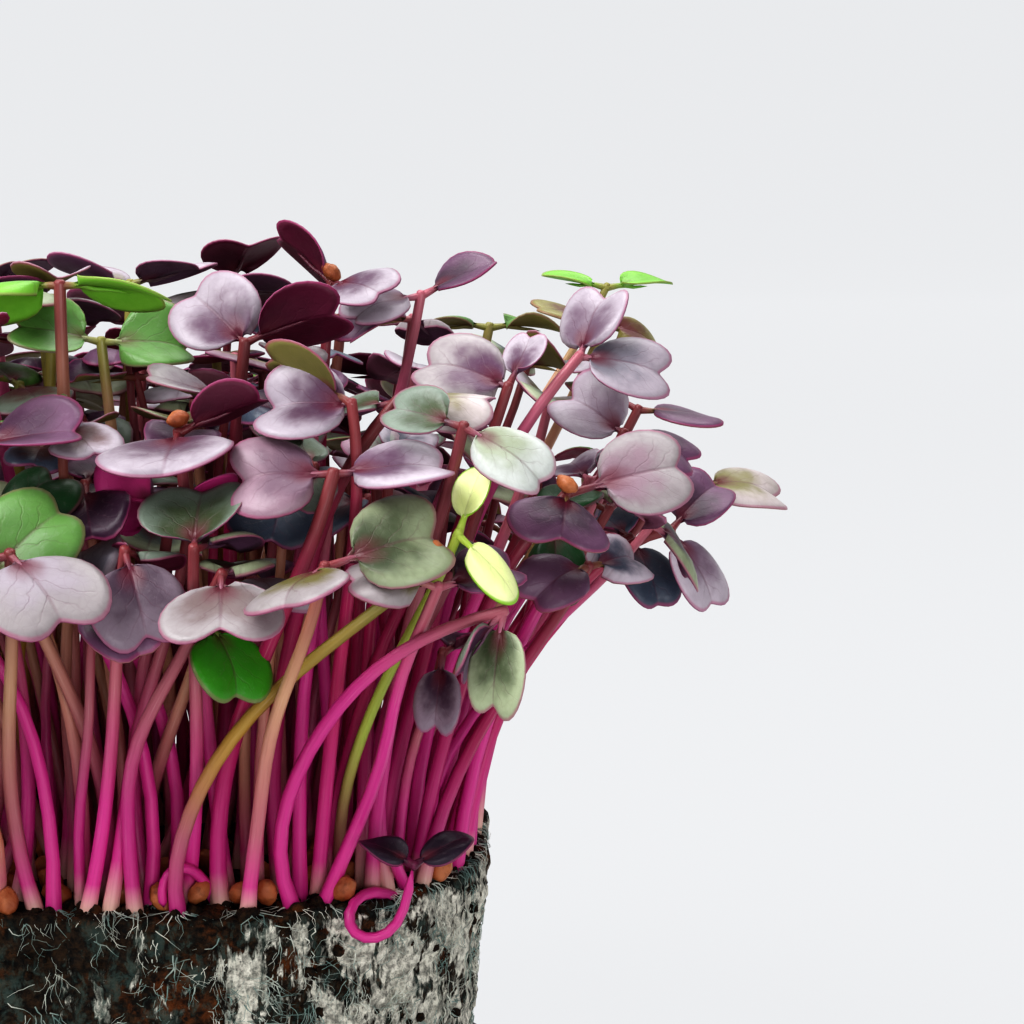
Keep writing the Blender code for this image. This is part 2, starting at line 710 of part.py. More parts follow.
def seedPlaces(tufts, draw):
    """Places for seed coats: most of them near the edge, all clear of the stems' holes."""
    feet = rootsInUse(tufts)
    places = []
    for _ in range(4000):
        if len(places) == seedCoat["count"]:
            break
        x = draw.uniform(-block["halfLength"], block["halfLength"])
        y = draw.uniform(-block["halfDepth"], block["halfDepth"])
        inside = edgeDistance(x, y)
        if inside < 3.2 or draw.random() < inside / 26:
            continue
        if min(math.hypot(x - a, y - b) for a, b in feet) < 4.3:
            continue
        if places and min(math.hypot(x - a, y - b) for a, b in places) < 5:
            continue
        places.append((x, y))
    return places


def addSeedCoats(soil, tufts, placed, draw):
    """Seed coats as small bluff solids, half sunk in the soil."""
    coats = newCollection("coats")
    for x, y in seedPlaces(tufts, draw):
        bm = bmesh.new()
        bmesh.ops.create_icosphere(bm, subdivisions=1, radius=0.5)
        bmesh.ops.scale(bm, vec=(seedCoat["length"], seedCoat["width"], seedCoat["height"]), verts=bm.verts)
        turn = Matrix.Rotation(draw.uniform(0, math.pi), 4, "Z")
        turn = turn @ Matrix.Rotation(draw.uniform(-0.4, 0.4), 4, "Y")
        place = Matrix.Translation((x, y, block["top"] + seedCoat["sunk"]))
        bmesh.ops.transform(bm, matrix=place @ turn, verts=bm.verts)
        if any(BVHTree.FromBMesh(bm).overlap(other) for other in placed):
            bm.free()
            continue
        objectFrom(bm, "coat", None, coats)
    combine(soil, coats, "UNION")


def buildTray():
    """A shallow moulded tray with flared walls and a rolled lip, a little wider than the block."""
    bm = bmesh.new()
    inset = (block["top"] - block["bottom"]) * math.tan(math.radians(block["taper"]))
    halfX, halfY, corner = outlineHalf(inset)
    halfX, halfY, corner = (size + tray["floorGap"] for size in (halfX, halfY, corner))
    flare = math.tan(math.radians(tray["flare"]))
    wall, top = tray["wall"], tray["height"]
    inner = flare * (top - tray["floor"])
    profile = (
        (wall - tray["baseRound"], 0.0),
        (wall + flare * tray["baseRound"] * 0.5, tray["baseRound"] * 0.8),
        (wall + inner - 0.4, top - wall - 0.2),
        (wall + inner + tray["lip"] - wall, top - wall - 0.2),
        (wall + inner + tray["lip"] - wall, top - tray["lipDrop"] - wall),
        (wall + inner + tray["lip"], top - tray["lipDrop"] - wall),
        (wall + inner + tray["lip"], top - 0.8),
        (wall + inner + tray["lip"] - 0.8, top),
        (inner, top),
        (0.3, tray["floor"] + 1.2),
        (-1.0, tray["floor"]),
    )
    rings = []
    for out, z in profile:
        outline = roundedOutline(halfX + out, halfY + out, corner + out, perCorner=7)
        rings.append([(x, y, z) for x, y in outline])
    loft(bm, rings)
    bmesh.ops.triangulate(bm, faces=bm.faces)
    made = objectFrom(bm, "tray", material("tray_plastic", (0.02, 0.02, 0.02), 0.45))
    made.data.shade_smooth()
    made.data.set_sharp_from_angle(angle=math.radians(35))
    return made


def main():
    for each in list(bpy.data.objects):
        bpy.data.objects.remove(each)
    tufts, placed, dropped = allTufts()
    finishes = {
        "plum": material("plum", (0.30, 0.12, 0.22), 0.5),
        "green": material("green", (0.13, 0.33, 0.05), 0.5),
        "lime": material("lime", (0.55, 0.75, 0.15), 0.5),
    }
    buildTray()
    buildSoil(tufts, placed, random.Random(5))
    for number, tuft in enumerate(tufts):
        kind = tuft[0]["kind"]
        label = "tuft" if len(tuft) > 1 or kind == "plum" else "sprout"
        buildTuft("%s_%s_%02d" % (kind, label, number + 1), tuft, finishes[kind])
    print("sprouts", sum(len(tuft) for tuft in tufts), "tufts", len(tufts), "left out", dropped)


main()
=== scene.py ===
import math
import random

import bmesh
import bpy
import numpy as np
from mathutils import Matrix, Vector, noise
from mathutils.bvhtree import BVHTree


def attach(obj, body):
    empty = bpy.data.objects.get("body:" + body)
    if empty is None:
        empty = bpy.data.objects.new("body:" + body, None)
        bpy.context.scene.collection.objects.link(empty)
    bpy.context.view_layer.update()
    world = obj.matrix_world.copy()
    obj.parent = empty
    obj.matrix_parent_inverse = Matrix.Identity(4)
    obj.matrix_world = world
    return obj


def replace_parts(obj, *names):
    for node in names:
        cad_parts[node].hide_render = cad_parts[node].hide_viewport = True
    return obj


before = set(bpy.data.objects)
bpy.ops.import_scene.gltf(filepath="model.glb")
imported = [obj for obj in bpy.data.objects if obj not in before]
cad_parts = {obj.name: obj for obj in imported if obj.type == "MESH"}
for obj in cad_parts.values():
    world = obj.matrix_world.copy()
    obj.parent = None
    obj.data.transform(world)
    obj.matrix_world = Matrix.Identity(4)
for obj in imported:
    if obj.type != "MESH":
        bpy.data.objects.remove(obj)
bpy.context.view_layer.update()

# Where every sprout stands, in millimetres, worked out as in the part's own script
toMetres = 0.001
up = Vector((0, 0, 1))

# Driving dimensions, in millimetres and degrees
block = {
    "halfLength": 46.0,
    "halfDepth": 40.0,
    "corner": 32.0,
    "taper": 5.5,
    "bottom": 1.9,
    "top": 46.0,
}
stem = {"radius": 0.85, "sides": 4, "rings": 5}
blade = {"thickness": 0.7, "length": 9.8, "width": 11.8, "neck": 2.2}
clearance = 0.4
# Half the outline of a seed leaf, as (degrees from the midrib, share of the length). It is widest
# past the middle, and the first point is the notch at its tip.
lobedOutline = ((0, 0.80), (14, 0.97), (32, 1.03), (54, 0.84), (78, 0.38))
plainOutline = ((0, 1.0), (14, 0.99), (32, 0.90), (54, 0.64), (78, 0.30))
outlineWidth = 0.68


def direction(heading, pitch):
    h, p = math.radians(heading), math.radians(pitch)
    return Vector((math.cos(h) * math.cos(p), math.sin(h) * math.cos(p), math.sin(p)))


def leaf(heading, pitch, roll, length=None, width=None, **more):
    along = direction(heading, pitch)
    face = Matrix.Rotation(math.radians(roll), 3, along) @ (up - along * along.z).normalized()
    return leafAlong(along, face, length, width, **more)


def leafAlong(along, face, length=None, width=None, fold=0.22, cup=0.0, arch=0.14, neck=None, plain=False):
    return {"along": along, "face": face, "fold": fold, "cup": cup, "arch": arch, "plain": plain,
            "length": length or blade["length"], "width": width or blade["width"],
            "neck": blade["neck"] if neck is None else neck}


def sprout(name, root, apex, leaves, kind="plum", lean=(0, 0), rise=0.42, radius=None, tip=None):
    return {"name": name, "root": root, "apex": Vector(apex) + up * block["top"], "leaves": leaves,
            "kind": kind, "lean": lean, "rise": rise, "radius": radius or stem["radius"], "tip": tip}


def outlineHalf(inset):
    return block["halfLength"] - inset, block["halfDepth"] - inset, block["corner"] - inset


def edgeDistance(x, y):
    halfX, halfY, corner = outlineHalf(0)
    overX, overY = abs(x) - (halfX - corner), abs(y) - (halfY - corner)
    if overX > 0 and overY > 0:
        return corner - math.hypot(overX, overY)
    return corner - max(overX, overY)


def anySpot(draw):
    halfX, halfY = block["halfLength"], block["halfDepth"]
    return draw.uniform(-halfX, halfX), draw.uniform(-halfY, halfY)


def nearest(spot, others):
    return min(math.dist(spot, other) for other in others)


def outwards(x, y):
    away = Vector((x / block["halfLength"], y / block["halfDepth"], 0))
    return away.normalized() if away.length > 1e-6 else Vector((1, 0, 0))


def stemCurve(one, steps):
    start = Vector((*one["root"], block["top"]))
    end = one["apex"]
    span = end - start
    plan = Vector((span.x, span.y, 0))
    lean = Vector((*one["lean"], 0))
    tip = direction(*one["tip"]) if one["tip"] else (plan * 0.85 + up * abs(span.z) * 0.75).normalized()
    first = start + up * span.z * one["rise"] + lean
    second = end - tip * span.length * 0.3
    points = []
    for i in range(steps + 1):
        t = i / steps
        s = 1 - t
        points.append(start * s**3 + first * (3 * s * s * t) + second * (3 * s * t * t) + end * t**3)
    return points, tip


def tube(bm, path, radii, sides, twist=0.4):
    rings = []
    ahead = (path[1] - path[0]).normalized()
    across = ahead.cross(Vector((0.3, 1, 0.2))).normalized()
    for i, point in enumerate(path):
        before, after = path[max(i - 1, 0)], path[min(i + 1, len(path) - 1)]
        ahead = (after - before).normalized()
        across = (across - ahead * across.dot(ahead)).normalized()
        other = ahead.cross(across)
        ring = []
        for k in range(sides):
            turn = twist + 2 * math.pi * k / sides
            out = across * math.cos(turn) + other * math.sin(turn)
            ring.append(bm.verts.new(point + out * radii[i]))
        rings.append(ring)
    for low, high in zip(rings, rings[1:]):
        for k in range(sides):
            n = (k + 1) % sides
            bm.faces.new((low[k], low[n], high[n], high[k]))
    bm.faces.new(list(reversed(rings[0])))
    bm.faces.new(rings[-1])


def bladeHeight(one, x, y):
    half = one["width"] / 2
    share = x / one["length"]
    return one["fold"] * abs(y) + one["cup"] * half * (y / half) ** 2 - one["arch"] * one["length"] * share**2


def bladePoints(one, grow):
    outline = plainOutline if one["plain"] else lobedOutline
    half = one["width"] / 2 + grow
    length = one["length"] + grow
    side = []
    for degrees, share in reversed(outline):
        turn = math.radians(degrees)
        out = share * math.sin(turn) / outlineWidth * half
        side.append((one["neck"] + share * math.cos(turn) * length, out))
    right, notch = side[:-1], side[-1]
    left = [(x, -y) for x, y in reversed(right)]
    return [(0.0, 0.0), *right, notch, *left]


def addBlade(bm, one, apex, grow=0.0):
    across = one["face"].cross(one["along"])
    half = blade["thickness"] / 2 + grow
    flat = bladePoints(one, grow)
    sheets = []
    for side in (half, -half):
        sheet = []
        for x, y in flat:
            height = bladeHeight(one, max(x - one["neck"], 0), y) + side
            sheet.append(bm.verts.new(apex + one["along"] * x + across * y + one["face"] * height))
        sheets.append(sheet)
    top, bottom = sheets
    count = len(flat)
    notch = count // 2
    for i in list(range(0, notch - 1)) + list(range(notch + 1, count)):
        n = (i + 1) % count
        bm.faces.new((top[notch], top[i], top[n]))
        bm.faces.new((bottom[notch], bottom[n], bottom[i]))
    for i in range(count):
        n = (i + 1) % count
        bm.faces.new((top[i], bottom[i], bottom[n], top[n]))


def stemRadii(one, count, grow=0.0):
    return [one["radius"] * (1.12 - 0.32 * i / (count - 1)) + grow for i in range(count)]


def addStem(bm, one, end=None, grow=0.0):
    points, tip = stemCurve(one, stem["rings"] - 1)
    path = points + [points[-1] + tip * 0.7]
    radii = stemRadii(one, len(path), grow)
    if end:
        path = [end] + path
        radii = [one["radius"] * 0.8 + grow] + radii
    tube(bm, path, radii, stem["sides"])


def sproutTree(one, grow=0.0):
    bm = bmesh.new()
    addStem(bm, one, grow=grow)
    for each in one["leaves"]:
        addBlade(bm, each, one["apex"], grow)
    bmesh.ops.triangulate(bm, faces=bm.faces)
    tree = BVHTree.FromBMesh(bm)
    bm.free()
    return tree


def loosened(one, draw, amount):
    if amount == 0:
        return one
    shift = Vector((draw.uniform(-1, 1), draw.uniform(-1, 1), draw.uniform(-1, 1) * 0.8)) * amount
    leaves = []
    for each in one["leaves"]:
        swing = Matrix.Rotation(math.radians(draw.uniform(-5, 5) * amount), 3, each["face"])
        tilt = Matrix.Rotation(math.radians(draw.uniform(-4, 4) * amount), 3, each["along"])
        leaves.append({**each, "along": tilt @ swing @ each["along"], "face": tilt @ swing @ each["face"]})
    lean = Vector(one["lean"]) + Vector((draw.uniform(-1, 1), draw.uniform(-1, 1))) * amount
    return {**one, "apex": one["apex"] + shift, "leaves": leaves, "lean": lean}


def settle(one, placed, draw, tries=250, most=8.0):
    for i in range(tries):
        moved = loosened(one, draw, most * (i / tries) ** 1.3 if i else 0)
        tree = sproutTree(moved, clearance)
        if not any(tree.overlap(other) for other in placed):
            return moved
    return None


def namedTufts():
    front = [
        sprout("palePair", (-6, -36.8), (-4, -54.5, 44), [
            leaf(-48, -22, 12, 11, 15, fold=0.05, arch=0.2),
            leaf(192, -12, -20, 9, 11)], lean=(-5, 0)),
        sprout("greyDroop", (0, -37), (7, -48, 43.5), [
            leaf(-62, -48, 14, 10, 11.5, fold=0.12),
            leaf(70, -12, 0, 7.5, 8.5)], lean=(4, 1)),
        sprout("wineFunnel", (-9, -32.8), (-10, -43, 54.5), [
            leaf(0, 12, 26, 10.5, 12, fold=0.45),
            leaf(170, 20, -30, 10, 12, fold=0.4)], lean=(5, 0)),
    ]
    veined = [
        sprout("redHeart", (5.5, -37), (17.5, -49, 40.5), [
            leaf(-92, -32, 0, 9, 13.5, fold=-0.12, arch=0.05),
            leaf(90, 5, 0, 8, 9)], lean=(-3, 0), tip=(-20, 60)),
        sprout("veinedBack", (11, -33.6), (16.5, -48, 44.5), [
            leaf(82, 48, -4, 8.6, 12.6, fold=0.2, neck=1.2),
            leaf(60, 8, 0, 7, 8)], lean=(4, -4)),
        sprout("magentaCurl", (6, -31.5), (10, -44.5, 45), [
            leaf(168, 6, 62, 8, 10, fold=0.35, arch=-0.25),
            leaf(-12, 22, -50, 6.5, 8, arch=-0.2)], lean=(-6, 0)),
    ]
    centre = [
        sprout("stackedPair", (15, -34.2), (30, -45, 51), [
            leaf(182, 2, -52, 10, 11.8, fold=0.2, arch=0.05),
            leaf(2, 6, 22, 11, 11, fold=0.3, arch=0.0)], lean=(-3, 0), tip=(50, 70), radius=1.0),
        sprout("heartFace", (18.5, -37), (26.2, -50, 42.5), [
            leaf(10, 14, 62, 11, 12.8, fold=0.1, arch=0.06, neck=3.6),
            leaf(-128, -12, 14, 8.6, 12.6, fold=-0.1, arch=0.0)], lean=(0, 0)),
        sprout("hullBowl", (15.5, -30.5), (12.5, -39.5, 55), [
            leaf(-95, -18, 0, 9.5, 15.5, fold=0.16, arch=-0.08),
            leaf(8, 24, -42, 8.5, 7.5, fold=0.4)], lean=(-3, 0)),
    ]
    arched = [
        sprout("archedOver", (23.5, -35.3), (48, -48.5, 37), [
            leaf(-112, -70, 0, 10, 7.6, fold=0.18, arch=0.05),
            leaf(188, -46, 20, 7, 7.5)], lean=(-6, -3), rise=0.5, tip=(-4, 14)),
        sprout("foldedPair", (26, -31.2), (31, -41, 58.5), [
            leaf(180, 0, -52, 10.6, 11, fold=0.5, arch=0.0, neck=0.8),
            leaf(158, 34, 46, 9.6, 9, fold=0.3, arch=0.28)], lean=(1, 0), tip=(120, 74)),
        sprout("smallFront", (21.5, -29.5), (36, -38, 59), [
            leaf(-4, 6, 24, 10.4, 9, fold=-0.3, arch=0.1, neck=1.4),
            leaf(165, -8, -10, 8, 9)], lean=(-2, 0), tip=(8, 50), radius=0.95),
    ]
    shoulder = [
        sprout("whitePaddle", (32.3, -29.8), (42, -43.5, 56), [
            leaf(-24, -18, 40, 9.6, 8.6, fold=0.05, arch=0.1),
            leaf(164, 16, -38, 7.6, 7.4, fold=0.05)], lean=(0, 0)),
        sprout("paleSpread", (37.4, -23), (55.2, -36, 48.5), [
            leaf(14, 14, 46, 11, 13, fold=0.04, arch=0.12, neck=4.6),
            leaf(-96, -34, -20, 7.4, 12.4, fold=-0.16, arch=0.0, neck=1.2)], lean=(3, -3), tip=(30, 40)),
        sprout("lavenderSide", (33, -23.8), (48.5, -25, 60), [
            leaf(170, 24, -42, 10.8, 11.6, fold=0.1, neck=1.0),
            leaf(52, 52, 20, 6, 5.6)], lean=(2, 0)),
        sprout("hooked", (36.2, -27), (39, -41.5, 6), [
            leaf(28, 28, 30, 6.2, 4.4, plain=True, neck=1.2),
            leaf(160, 22, -20, 5.6, 4.0, plain=True, neck=1.2)],
            lean=(-1, -7), rise=1.3, radius=0.7, tip=(-40, -10)),
    ]
    corner = [
        sprout("shadedCup", (41, -17), (62.5, -18, 54), [
            leaf(158, 36, -52, 9.6, 9.8, fold=0.3, cup=0.2, neck=1.0),
            leaf(-20, -14, 20, 8.4, 9)], lean=(4, 0)),
        sprout("butterfly", (38, -11), (57, -22, 63.5), [
            leaf(58, 56, -8, 9.6, 10.6, fold=0.1, arch=0.04, neck=1.4),
            leaf(-6, -6, 46, 10.4, 10, fold=0.06, arch=0.12, neck=1.4)], lean=(-2, 0), tip=(28, 44)),
        sprout("lilacDroop", (43, -12), (69, -8, 41), [
            leaf(-34, -48, 14, 9.4, 8.6, fold=0.15),
            leaf(42, 36, 30, 9, 10, fold=0.25)], lean=(2, 0), tip=(0, 12)),
    ]
    end = [
        sprout("farRight", (43, 4), (73.5, 4, 45.5), [
            leaf(2, 6, 24, 9.8, 10, fold=0.1, arch=0.3),
            leaf(172, 8, -30, 10, 11, fold=0.3)], lean=(2, 0), tip=(0, 30)),
        sprout("slateUnder", (43, -4), (65, -3, 40), [
            leaf(-62, -40, 6, 8.6, 8.4, fold=0.35),
            leaf(118, 18, -12, 8.6, 9)], lean=(2, 0), tip=(-10, 22)),
        sprout("oliveEdge", (41, 10), (66, 9, 55), [
            leaf(-4, -2, 6, 9.8, 8.8, fold=0.05, arch=0.16),
            leaf(158, 30, -8, 8.8, 9.6)], lean=(0, 0)),
    ]
    middle = [
        sprout("pinkArch", (12, -18), (17, -20, 65), [
            leaf(148, 38, -52, 10.6, 12.4, fold=0.2, neck=1.0),
            leaf(8, 26, -56, 11.4, 10.6, fold=0.3, arch=0.3)], lean=(2, 0), radius=1.0),
        sprout("wineTop", (21, -10), (26.5, -8, 72), [
            leaf(142, 42, 60, 9.6, 9, fold=0.24, neck=1.2),
            leaf(-52, 0, 30, 9, 9.4, fold=0.1)], lean=(2, 0)),
        sprout("edgeOn", (27, -6), (34.5, -8, 70), [
            leaf(196, -4, -16, 8.4, 9, fold=0.2),
            leaf(20, 30, 10, 9, 8.4, fold=0.3)], lean=(-3, 0)),
    ]
    singles = [
        sprout("greenHeart", (-14, -34.5), (-8.5, -50, 40), [
            leaf(18, 44, 60, 11, 12.2, fold=0.08, arch=0.05),
            leaf(168, 14, -20, 9.6, 11)], kind="green", lean=(-2, 0)),
        sprout("greenShade", (0.5, -30.5), (-3, -42.5, 47.5), [
            leaf(26, 34, 46, 8.8, 9.6, fold=0.05),
            leaf(-150, 10, 0, 8.6, 9)], kind="green", lean=(2, 0)),
        sprout("greenLow", (3.5, -26.2), (8, -42, 31), [
            leaf(-50, -42, 6, 8.8, 10.6, fold=0.1),
            leaf(120, -12, 0, 7, 8)], kind="green", lean=(0, 0)),
        sprout("umbrella", (-5, -24), (-3, -30, 72), [
            leaf(6, 4, -18, 10.8, 11.6, fold=-0.4, arch=0.3),
            leaf(176, 4, 18, 10.8, 11.6, fold=-0.4, arch=0.3)], kind="green", lean=(3, 0), radius=0.95),
        sprout("rolledGreen", (3.5, -14), (-1, -15.5, 65), [
            leaf(4, 0, 44, 9.8, 11, fold=0.1, cup=0.42, arch=0.05),
            leaf(-160, 14, -40, 9.6, 10.4)], kind="green", lean=(-2, 0)),
        sprout("limeOpen", (28.3, -26.8), (42.5, -46, 47), [
            leaf(62, 62, 0, 6.2, 4.6, fold=0.2, plain=True),
            leaf(-22, -28, 34, 7.4, 4.2, fold=0.3, plain=True)], kind="lime", lean=(0, 0), radius=0.7),
        sprout("ochreLean", (10.5, -37.2), (36.5, -46, 38), [
            leaf(18, 8, 30, 5.6, 6, neck=4.4),
            leaf(150, 20, 0, 5, 5)], kind="green", lean=(0, -8), tip=(8, 34)),
        sprout("deepDroop", (35, -17), (54, -27, 45), [
            leaf(-88, -62, 4, 8.6, 7.8, fold=0.08),
            leaf(70, 20, 0, 8, 8.4)], kind="green", lean=(0, 0)),
        sprout("backOlive", (39, 21), (61.5, 17, 66), [
            leaf(24, -10, 36, 8.8, 7.8, fold=0.12, arch=0.3),
            leaf(196, 20, -10, 8.6, 8.6)], kind="green", lean=(0, 0)),
        sprout("backThin", (33, 28), (62.5, 33, 71), [
            leaf(6, 10, 10, 6.8, 6.2, plain=True),
            leaf(186, 14, 0, 6.8, 6.2, plain=True)], kind="green", lean=(0, 0), radius=0.7),
        sprout("limeArc", (34, 8), (46, 10, 66), [
            leaf(184, 10, 10, 8.2, 7.6, arch=0.36),
            leaf(4, 8, -14, 8.2, 7.6, arch=0.36)], kind="green", lean=(-2, 0)),
    ]
    return [front, veined, centre, arched, shoulder] + [[one] for one in singles] + [corner, end, middle]


def scattered(name, root, draw):
    x, y = root
    near = max(0.0, min(1.0, 1 - edgeDistance(x, y) / 30))
    away = outwards(x, y)
    reach = 2 + 23 * near**2.2 + draw.uniform(-4, 5)
    apex = Vector((x, y, 0)) + away * reach + Vector((draw.uniform(-6, 6), draw.uniform(-6, 6), 0))
    apex.z = 67 - 25 * near**2 + draw.uniform(-9, 7)
    tip = (Vector((apex.x - x, apex.y - y, 0)) * 0.8 + up * apex.z * 0.75).normalized()
    crown = (tip * 0.75 + away * 0.35 * near + up * 0.25).normalized()
    side = crown.cross(Vector((0, 1, 0.1))).normalized()
    spin = draw.uniform(0, 2 * math.pi)
    leaves = []
    for half in range(2):
        turn = spin + half * math.pi + draw.uniform(-0.3, 0.3)
        level = side * math.cos(turn) + crown.cross(side) * math.sin(turn)
        opened = math.radians(draw.uniform(66, 100))
        along = (crown * math.cos(opened) + level * math.sin(opened)).normalized()
        face = (crown * math.sin(opened) - level * math.cos(opened)).normalized()
        size = draw.uniform(0.82, 1.1)
        width = blade["width"] * size * draw.uniform(0.9, 1.1)
        leaves.append(leafAlong(along, face, blade["length"] * size, width,
                                fold=draw.uniform(-0.12, 0.38), arch=draw.uniform(0.0, 0.28)))
    return sprout(name, root, apex, leaves, lean=(draw.uniform(-5, 5), draw.uniform(-5, 5)),
                  radius=stem["radius"] * draw.uniform(0.85, 1.15))


def forkOf(tufts, name):
    return next(one["apex"] for tuft in tufts for one in tuft if one["name"] == name)


def rootsInUse(tufts):
    return [one["root"] for tuft in tufts for one in tuft]


def drawnIn(x, y, inset):
    while edgeDistance(x, y) < inset:
        x, y = x * 0.98, y * 0.98
    return x, y


def scatteredTufts(tufts, placed, draw, spacing=17.6, rootSpread=3.9, keepOff=9.5, apart=13.0):
    made, centres = [], []
    taken = rootsInUse(tufts)
    rows = int(2 * block["halfDepth"] / (spacing * 0.87)) + 1
    columns = int(2 * block["halfLength"] / spacing) + 1
    for row in range(rows):
        for column in range(columns):
            x = (column - (columns - 1) / 2 + 0.5 * (row % 2) - 0.25) * spacing + draw.uniform(-1.2, 1.2)
            y = (row - (rows - 1) / 2) * spacing * 0.87 + draw.uniform(-1.2, 1.2)
            x, y = drawnIn(x, y, rootSpread + 1.4)
            if nearest((x, y), taken) < keepOff or centres and nearest((x, y), centres) < apart:
                continue
            centres.append((x, y))
            tuft = []
            spin = draw.uniform(0, 2)
            for k in range(3):
                turn = spin + 2 * math.pi * k / 3
                root = (x + rootSpread * math.cos(turn), y + rootSpread * math.sin(turn))
                name = "s%d_%d_%d" % (row, column, k)
                one = None
                for _ in range(6):
                    one = one or settle(scattered(name, root, draw), placed, draw, 16, 6)
                if one:
                    tuft.append(one)
                    placed.append(sproutTree(one))
            if tuft:
                made.append(tuft)
    return made


def blockTree():
    bm = bmesh.new()
    rings = []
    for z in (block["bottom"], block["top"] - 0.8):
        inset = (block["top"] - z) * math.tan(math.radians(block["taper"])) - 0.9
        rings.append([(x, y, z) for x, y in roundedOutline(*outlineHalf(inset), perCorner=5)])
    loft(bm, rings)
    bmesh.ops.triangulate(bm, faces=bm.faces)
    tree = BVHTree.FromBMesh(bm)
    bm.free()
    return tree


def allTufts(seed=11):
    draw = random.Random(seed)
    placed, tufts = [blockTree()], []
    for tuft in namedTufts():
        kept = []
        for one in tuft:
            moved = settle(one, placed, draw)
            if moved:
                kept.append(moved)
                placed.append(sproutTree(moved))
        if kept:
            tufts.append(kept)
    rest = scatteredTufts(tufts, placed, draw)
    return tufts + rest, placed


def roundedOutline(halfX, halfY, corner, perCorner):
    points = []
    for quarter, (sx, sy) in enumerate(((1, 1), (-1, 1), (-1, -1), (1, -1))):
        for k in range(perCorner + 1):
            turn = math.pi / 2 * (quarter + k / perCorner)
            points.append((sx * (halfX - corner) + corner * math.cos(turn),
                           sy * (halfY - corner) + corner * math.sin(turn)))
    return points


def loft(bm, rings):
    made = [[bm.verts.new(point) for point in ring] for ring in rings]
    for low, high in zip(made, made[1:]):
        for k in range(len(low)):
            n = (k + 1) % len(low)
            bm.faces.new((low[k], low[n], high[n], high[k]))
    bm.faces.new(list(reversed(made[0])))
    bm.faces.new(made[-1])


# Colours as a screen shows them, made linear
def tone(red, green, blue):
    shares = (red / 255, green / 255, blue / 255)
    return tuple(((c + 0.055) / 1.055) ** 2.4 if c > 10 / 255 else c / 12.92 for c in shares)


# One green, for umbrella and backThin, is painted light: it is made brighter to stand in for light shining
# through their thin leaves
leafTones = {
    "ink": tone(36, 20, 40), "lavender": tone(168, 157, 168), "palePink": tone(190, 178, 178),
    "paleGrey": tone(182, 186, 182), "sage": tone(146, 156, 126), "greyGreen": tone(112, 124, 112),
    "slate": tone(66, 76, 92), "plum": tone(100, 69, 94), "deepPlum": tone(58, 30, 54),
    "olive": tone(124, 118, 66), "green": tone(94, 136, 70), "freshGreen": tone(58, 142, 28),
    "sunGreen": tone(120, 186, 60), "darkGreen": tone(28, 70, 36), "lime": tone(176, 212, 78),
    "limePale": tone(222, 232, 160), "crimson": tone(132, 28, 66), "magenta": tone(190, 54, 124),
    "wine": tone(84, 22, 48), "dusty": tone(158, 104, 128), "mauve": tone(156, 128, 142),
    "darkSage": tone(72, 84, 56), "russet": tone(96, 52, 44), "mist": tone(154, 146, 148),
    "dove": tone(122, 108, 120),
}
stemTones = {
    "cream": tone(226, 190, 172), "magenta": tone(208, 58, 144), "crimson": tone(178, 38, 98),
    "rose": tone(184, 106, 120), "peach": tone(214, 158, 136), "tan": tone(198, 154, 122),
    "ochre": tone(196, 154, 72), "olive": tone(140, 138, 70), "lime": tone(186, 206, 92),
    "dark": tone(92, 18, 56), "brick": tone(136, 62, 66),
}
# Stems as the shares of their length where each colour is reached
stemLooks = {
    "usual": ((0.0, "cream"), (0.03, "magenta"), (0.25, "magenta"), (0.58, "rose"), (1.0, "brick")),
    "red": ((0.0, "cream"), (0.04, "magenta"), (0.4, "crimson"), (0.6, "crimson"), (0.9, "brick"),
            (1.0, "brick")),
    "peach": ((0.0, "cream"), (0.05, "magenta"), (0.3, "peach"), (0.7, "tan"), (1.0, "brick")),
    "yellow": ((0.0, "cream"), (0.1, "rose"), (0.4, "ochre"), (1.0, "olive")),
    "pink": ((0.0, "magenta"), (0.6, "magenta"), (0.9, "rose"), (1.0, "rose")),
    "tan": ((0.0, "cream"), (0.05, "magenta"), (0.2, "rose"), (0.6, "tan"), (1.0, "brick")),
    "ochre": ((0.0, "magenta"), (0.22, "rose"), (0.42, "ochre"), (1.0, "olive")),
    "green": ((0.0, "cream"), (0.05, "magenta"), (0.35, "rose"), (0.8, "tan"), (1.0, "olive")),
    "lime": ((0.0, "cream"), (0.05, "rose"), (0.4, "lime"), (1.0, "lime")),
    "dark": ((0.0, "magenta"), (0.7, "magenta"), (1.0, "dark")),
}
